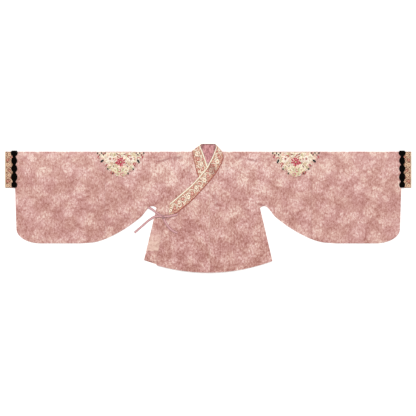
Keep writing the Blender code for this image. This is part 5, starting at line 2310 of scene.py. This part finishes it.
# Leaves of a patch's right half: foot x and y, angle, length and width
LEAVES = (
    (OLIVE, (
        (0.018, -0.078, -1.9, 0.026, 0.011), (0.05, -0.07, -0.9, 0.022, 0.01),
        (0.03, -0.02, 1.2, 0.017, 0.008), (0.01, -0.108, -1.1, 0.018, 0.008),
    )),
    (BLACK, ((0.086, -0.036, -0.9, 0.024, 0.012),)),
    (GREEN, ((0.06, -0.082, -0.6, 0.013, 0.009), (0.036, -0.104, -1.0, 0.012, 0.008))),
    (CRIMSON, ((0.066, -0.06, -0.8, 0.02, 0.006), (0.11, -0.016, -1.1, 0.016, 0.0075))),
    (MAROON, ((0.034, -0.066, -1.2, 0.013, 0.0055), (0.012, -0.01, 0.1, 0.014, 0.005))),
)

# Knots of a patch's right half: place, size and colour
KNOTS = (
    (0.119, -0.0038, 0.0041, BLACK), (0.099, -0.0038, 0.0041, BLACK), (0.08, -0.0038, 0.0041, MAROON),
    (0.109, -0.013, 0.0038, MAROON), (0.089, -0.013, 0.0038, BLACK), (0.001, -0.05, 0.003, STRAW),
    (0.054, -0.034, 0.0028, MAROON), (0.028, -0.092, 0.0024, CRIMSON), (0.074, -0.07, 0.0026, MAROON),
    (0.03, -0.056, 0.0024, GREEN), (0.048, -0.098, 0.0026, BROWN), (0.024, -0.036, 0.0022, CRIMSON),
)


@dataclass
class Braid:
    """The lobed black braid over the cuff seam: domed lobes edged with a twisted cord."""

    plan: LaidJacket
    side: Side
    middle_x: float = 1.0025
    waist: float = 0.0077
    edge_thick: float = 0.001
    crown: float = 0.0012
    top_rise: float = 0.005
    foot_inset: float = 0.0005
    cord_inset: float = 0.0012
    cord_radius: float = 0.0009
    lobes: tuple[tuple[float, float, float], ...] = (
        (0.285, 0.017, 0.0182), (0.2453, 0.0195, 0.0155), (0.2046, 0.0202, 0.016),
        (0.1602, 0.0232, 0.0162), (0.1204, 0.0175, 0.0155),
    )

    def half_width(self, y: Array) -> Array:
        """Half width of the braid: the widest of a waist and a half ellipse for each lobe.

        Args:
            y: y of each row.

        Returns:
            Half widths in metres.
        """
        half = np.full_like(y, self.waist)
        for middle, reach, width in self.lobes:
            arc = np.clip(1.0 - ((y - middle) / reach) ** 2, 0.0, None)
            half = np.maximum(half, width * np.sqrt(arc))
        return half

    def build(self, material: Material) -> list[Item]:
        """Makes the lobed band and the cords on it.

        Args:
            material: Finish of what is made.

        Returns:
            The band and its cords.
        """
        plan = self.plan
        y = np.linspace(plan.shoulder_y + self.top_rise, plan.cuff_bottom_y + self.foot_inset, 180)
        half = self.half_width(y)
        across = np.linspace(-1.0, 1.0, 19)
        x = self.side.value * (self.middle_x + half[:, None] * across)
        low = plan.inner_top(x, y[:, None] + 0 * x) + plan.seam_gap
        ridges = 0.00016 * (1.0 + np.cos(across * 5 * math.pi))
        rise = self.crown * (1.0 - across ** 2) * (half / half.max())[:, None] + ridges
        uv = layer(y[:, None], half[:, None] * across)
        top = layer(x, y[:, None], low + self.edge_thick + rise)
        wall = closed_wall(top, layer(x, y[:, None], low), uv=uv, marks={"hollow": 0.0 * x})
        name = f"braid_{self.side.word}"
        cords = self.cords(y, half).piece(f"{name}_cords", material)
        dress(cords)
        band = dress(wall.piece(f"{name}_band", material), [name])
        return [band, cords]

    def cords(self, y: Array, half: Array) -> Sheet:
        """Lays a cord along each edge and one in a spiral on every lobe.

        Args:
            y: y of the band's rows.
            half: Half width of the band at each y.

        Returns:
            The cords, gathered into one sheet.
        """
        heap = Heap()
        lines = []
        for sign in (-1.0, 1.0):
            lines.append(layer(self.middle_x + sign * (half - self.cord_inset), y)[::2])
        for middle, reach, width in self.lobes:
            turn = np.linspace(0.0, 2.4 * 2 * math.pi, 60)
            shrink = 0.7 * (1.0 - turn / turn[-1] * 0.85)
            across = self.middle_x + width * shrink * np.cos(turn)
            lines.append(layer(across, middle + reach * shrink * np.sin(turn)))
        for line in lines:
            flat_x = self.side.value * line[:, 0]
            out = np.abs(line[:, 0] - self.middle_x) / self.half_width(line[:, 1])
            inside = np.clip(1.0 - out ** 2, 0.0, 1.0)
            low = self.plan.inner_top(flat_x, line[:, 1]) + self.plan.seam_gap + self.edge_thick
            height = low + self.crown * inside + 0.0002
            points, faces = tube(layer(flat_x, line[:, 1], height), self.cord_radius, 7)
            uv = rolled(np.arange(len(line)) * 0.001, np.linspace(0.0, 0.005, 7))
            heap.add(points, faces, uv, np.zeros(3))
        sheet = heap.sheet()
        sheet.marks = {"hollow": np.zeros(len(sheet.points))}
        return sheet


@dataclass
class Ties:
    """The two cloth ties and the knot that holds them."""

    plan: LaidJacket
    width: float = 0.011
    thick: float = 0.0012
    clearance: float = 0.0004
    side_length: float = 0.227
    collar_length: float = 0.278
    side_route: tuple[tuple[float, float], ...] = (
        (-0.3114, 0.006), (-0.291, -0.0055), (-0.275, -0.017), (-0.2524, -0.033), (-0.2338, -0.047),
        (-0.2225, -0.0695), (-0.2055, -0.096), (-0.1865, -0.1145), (-0.16, -0.127),
    )
    collar_route: tuple[tuple[float, float], ...] = (
        (-0.16, -0.0325), (-0.185, -0.0375), (-0.208, -0.042), (-0.2338, -0.0435), (-0.2545, -0.0415),
        (-0.276, -0.044), (-0.3, -0.058), (-0.34, -0.091), (-0.3812, -0.127),
    )
    knot_centre: tuple[float, float] = (-0.2345, -0.044)
    knot_length: float = 0.019
    knot_width: float = 0.013
    knot_height: float = 0.0034

    def side_low(self, x: Array, y: Array) -> Array:
        """Underside of the tie from the armpit: on the front, then up over the flap's edge."""
        on_flap = smooth_step(-0.05, -0.07, y)
        return self.plan.inner_top(x, y) + self.clearance + on_flap * self.plan.layer_step

    def collar_low(self, x: Array, y: Array) -> Array:
        """Underside of the collar's tie: on the flap, over the other tie, then down to the surface.

        Args:
            x: Plan positions.
            y: Plan positions.

        Returns:
            Heights in metres.
        """
        on_flap = smooth_step(-0.278, -0.263, x)
        on_body = smooth_step(-0.306, -0.279, x)
        return (self.plan.inner_top(x, y) + self.clearance + on_flap * self.plan.layer_step) * on_body

    def ribbon(self, route: Sequence[tuple[float, float]], low_of: HeightOf) -> Sheet:
        """Carries a flat strip with thicker folded edges along a route, with painted shade along both edges.

        Args:
            route: Plan points of its middle line.
            low_of: Gives the height of its underside on the middle line.

        Returns:
            The strip as a wall.
        """
        line = smooth_path(route, 120)
        _, aside = headings(line)
        across = np.linspace(-0.5, 0.5, 13)
        places = line[:, None] + aside[:, None] * across[:, None] * self.width
        x, y = places[..., 0], places[..., 1]
        low = low_of(line[:, 0], line[:, 1])[:, None] + 0 * x
        edge = smooth_step(0.28, 0.42, np.abs(across)) * smooth_step(0.5, 0.46, np.abs(across))
        waver = 0.00012 * np.sin(np.linspace(0.0, 31.0, len(line)))[:, None]
        top = low + self.thick - 0.0002 + 0.0003 * edge + waver
        gone = walked(line)
        uv = layer(gone[:, None], across * self.width)
        # Painted shade darkening both edges of the strip
        shade = 0.98 * smooth_step(0.27, 0.46, np.abs(across))
        marks = {"hollow": np.broadcast_to(shade, x.shape).copy()}
        return closed_wall(layer(x, y, top), layer(x, y, low), uv=uv, marks=marks)

    def knot(self) -> Sheet:
        """Wraps the knot: a domed turn of cloth with three folds running across it, darkened by painted shade
        all over and most in the folds' troughs.

        Returns:
            The knot as a wall.
        """
        around = np.linspace(0.0, 2 * math.pi, 48, endpoint=False)[:, None]
        rings = np.linspace(0.0, 1.0, 16)
        x = self.knot_centre[0] + rings * self.knot_width / 2 * np.cos(around)
        y = self.knot_centre[1] + rings * self.knot_length / 2 * np.sin(around)
        middle = np.array([self.knot_centre[0]]), np.array([self.knot_centre[1]])
        low = float((self.collar_low(*middle) + self.thick + self.clearance)[0])
        slanted = (x - self.knot_centre[0]) * 0.9 + (y - self.knot_centre[1]) * 0.35
        folds = 0.00045 * np.cos(slanted / 0.0042 * 2 * math.pi) * (1.0 - rings ** 4)
        dome = low + 0.0008 + self.knot_height * np.sqrt(1.0 - 0.96 * rings ** 2) + folds
        # Painted shade: the whole knot darker, most in the troughs of its folds
        hollow = np.clip(0.62 - folds / 0.0006, 0.0, 1.0)
        uv = layer(x, y)
        return closed_wall(layer(x, y, dome), layer(x, y, low), ring=True, uv=uv, marks={"hollow": hollow})

    def build(self, material: Material) -> list[Item]:
        """Makes both ties and the knot.

        Args:
            material: Finish of what is made.

        Returns:
            Both ties and the knot.
        """
        side = self.ribbon(self.side_route, self.side_low).piece("tie_side_ribbon", material)
        collar = self.ribbon(self.collar_route, self.collar_low).piece("tie_collar_ribbon", material)
        knot = self.knot().piece("tie_knot_turn", material)
        return [
            dress(side, ["tie_side"]),
            dress(collar, ["tie_collar"]),
            dress(knot, ["tie_knot"]),
        ]


@dataclass
class Stitches:
    """Rows of single stitches along the hems, the collar's edges and the cuffs."""

    plan: LaidJacket
    collar: Collar
    length: float = 0.0026
    step: float = 0.0042
    radius: float = 0.00035
    hem_inset: float = 0.0095
    rise: float = 0.0001
    collar_rise: float = 0.00022
    rose: Triple = (0.48, 0.23, 0.215)
    gold: Triple = (0.7, 0.48, 0.3)
    straw: Triple = (0.62, 0.4, 0.23)

    def row(self, heap: Heap, line: Array, tint: Triple) -> None:
        """Adds stitches along a line on the cloth, each a short closed bar with tapered ends.

        Args:
            heap: Heap to add to.
            line: Points of the line on the cloth's top face.
            tint: Thread colour.
        """
        span = float(np.linalg.norm(np.diff(line, axis=0), axis=1).sum())
        middles = even_points(line, max(3, int(span / self.step)))
        run = np.gradient(middles, axis=0)
        run = run / np.linalg.norm(run, axis=1, keepdims=True)
        aside = layer(-run[:, 1], run[:, 0], 0.0)
        aside = aside / np.linalg.norm(aside, axis=1, keepdims=True)
        up = np.cross(run, aside)
        along = np.array([-0.5, -0.3, 0.3, 0.5]) * self.length
        reach = np.array([0.35, 1.0, 1.0, 0.35]) * self.radius
        turn = np.linspace(0.0, 2 * math.pi, 6, endpoint=False)
        cosine, sine = np.cos(turn)[None, :, None], np.sin(turn)[None, :, None]
        ring = cosine * aside[:, None, None] + sine * up[:, None, None]
        points = middles[:, None, None] + run[:, None, None] * along[:, None, None]
        points = points + ring * reach[:, None, None]
        faces = tube_faces(4, 6)
        uv = rolled(np.linspace(0.0, 1.0, 4), np.linspace(-1.0, 1.0, 6))
        for stitch in points.reshape(len(middles), 24, 3):
            heap.add(stitch, faces, uv, tint)

    def build(self, material: Material) -> list[Item]:
        """Makes the hem rows and the collar rows as two pieces.

        Args:
            material: Finish of what is made.

        Returns:
            The stitches of the hems and those of the edges.
        """
        plan = self.plan
        hems = Heap()
        for low_x, high_x in ((-0.262, 0.006), (0.012, 0.324)):
            x = np.linspace(low_x, high_x, 90)
            y = plan.hem_of(x) + self.hem_inset
            self.row(hems, layer(x, y, plan.outer_top(x, y) + self.rise), self.rose)
        x = np.linspace(-0.322, -0.273, 20)
        y = plan.inner_hem_of(x) + self.hem_inset
        self.row(hems, layer(x, y, plan.inner_top(x, y) + self.rise), self.rose)
        edge = Heap()
        for share in (0.13, 0.915):
            outer, _, _ = self.collar.grid(share, share + 0.001, 1, 0.0)
            line = outer[:, 0] + np.array([0.0, 0.0, self.collar_rise])
            self.row(edge, line[2:self.collar.over_rows - 2], self.gold)
            self.row(edge, line[len(line) - self.collar.under_rows + 2:-8], self.gold)
        for side in Side:
            y = np.linspace(plan.cuff_bottom_y + 0.006, plan.shoulder_y - 0.006, 40)
            x = side.value * np.full_like(y, plan.half_span - 0.0045)
            self.row(edge, layer(x, y, plan.inner_top(x, y) + self.rise), self.straw)
        return [
            dress(hems.sheet().piece("hem_stitches", material)),
            dress(edge.sheet().piece("edge_stitches", material)),
        ]


@dataclass
class Studio:
    """Floor, soft light and the camera straight above, at the photograph's scale."""

    view_width: float = 2.1517
    view_x: float = -0.001
    view_y: float = 0.0008
    height: float = 6.0
    sensor: float = 36.0
    floor_white: float = 0.94
    floor_glow: float = 0.22
    sky: float = 0.74
    key: float = 1.5
    key_spread: float = 35.0

    def build(self) -> None:
        """Makes the floor, the lights and the camera."""
        self.build_floor()
        self.build_lights()
        self.build_camera()

    def build_floor(self) -> None:
        """Makes the plain pale floor just under the cloth."""
        graph = Graph("floor_paper")
        grain = graph.noise(graph.place(), 8.0, 2.0)
        white = self.floor_white
        colour = graph.mix(grain, (white - 0.01, white - 0.01, white - 0.01), (white, white, white))
        glow = {"Emission Color": (1.0, 1.0, 1.0), "Emission Strength": self.floor_glow}
        material = graph.finish(colour, 0.9, graph.bump(grain, 0.0001), 0.0, 0.2, **glow)
        share = np.linspace(-7.0, 7.0, 15)
        x, y = np.meshgrid(share, share)
        wall = closed_wall(layer(x, y, -0.0003), layer(x, y, -0.0203))
        wall.piece("floor", material)

    def build_lights(self) -> None:
        """Makes an even white sky and a wide soft sun from the upper left."""
        world = bpy.data.worlds.new("studio_sky")
        bpy.context.scene.world = world
        world.use_nodes = True
        sky = world.node_tree.nodes["Background"]
        sky.inputs["Color"].default_value = (1.0, 0.995, 0.985, 1.0)
        sky.inputs["Strength"].default_value = self.sky
        light = bpy.data.lights.new("soft_key", "SUN")
        light.angle = math.radians(self.key_spread)
        light.energy = self.key
        light.color = (1.0, 0.985, 0.96)
        lamp = bpy.data.objects.new("soft_key", light)
        bpy.context.scene.collection.objects.link(lamp)
        lamp.rotation_euler = (math.radians(-38.0), math.radians(-20.0), 0.0)
        bpy.context.scene.view_settings.view_transform = "Standard"

    def build_camera(self) -> None:
        """Points a long lens straight down, as wide as the photograph's frame."""
        camera = bpy.data.cameras.new("camera")
        camera.sensor_width = self.sensor
        camera.lens = self.sensor * self.height / self.view_width
        camera.clip_end = 60.0
        item = bpy.data.objects.new("camera", camera)
        bpy.context.scene.collection.objects.link(item)
        item.location = (self.view_x, self.view_y, self.height)
        bpy.context.scene.camera = item


def main() -> None:
    """Builds the jacket from its back layers to its trimmings, then the studio."""
    logging.basicConfig(level=logging.INFO, format="%(name)s: %(message)s")
    plan = LaidJacket()
    looks = {
        "rose": ROSE.material(),
        "collar": COLLAR.material(),
        "cuff": CUFF.material(),
        "cream": CREAM_SATIN.material(),
        "red": RED_SATIN.material(),
        "lining": PINK_LINING.material(),
        "braid": BLACK_CORD.material(),
        "tie": TIE_ROSE.material(),
        "ground": SatinGround().material(),
        "thread": THREAD.material(),
    }
    flaps = Flaps(plan)
    left = BodyHalf(plan, Side.LEFT, plan.centre_x, plan.left_front_top, plan.hem_of, plan.outer_top)
    left.build(looks["rose"])
    right_centre = -plan.seam_gap / 2
    right = BodyHalf(
        plan, Side.RIGHT, right_centre, plan.right_front_top, plan.inner_hem_of, plan.inner_top
    )
    right.build(looks["rose"])
    flaps.build_inner(looks["rose"])
    flaps.build_outer(looks["rose"])
    for side in Side:
        Sleeve(plan, side).build(looks["rose"])
        Cuff(plan, side).build(looks["cuff"])
        Patch(plan, side).build(looks["ground"], looks["thread"])
        Braid(plan, side).build(looks["braid"])
    collar = Collar(plan)
    collar.build(looks)
    Ties(plan).build(looks["tie"])
    Stitches(plan, collar).build(looks["thread"])
    Studio().build()


if __name__ == "__main__":
    main()
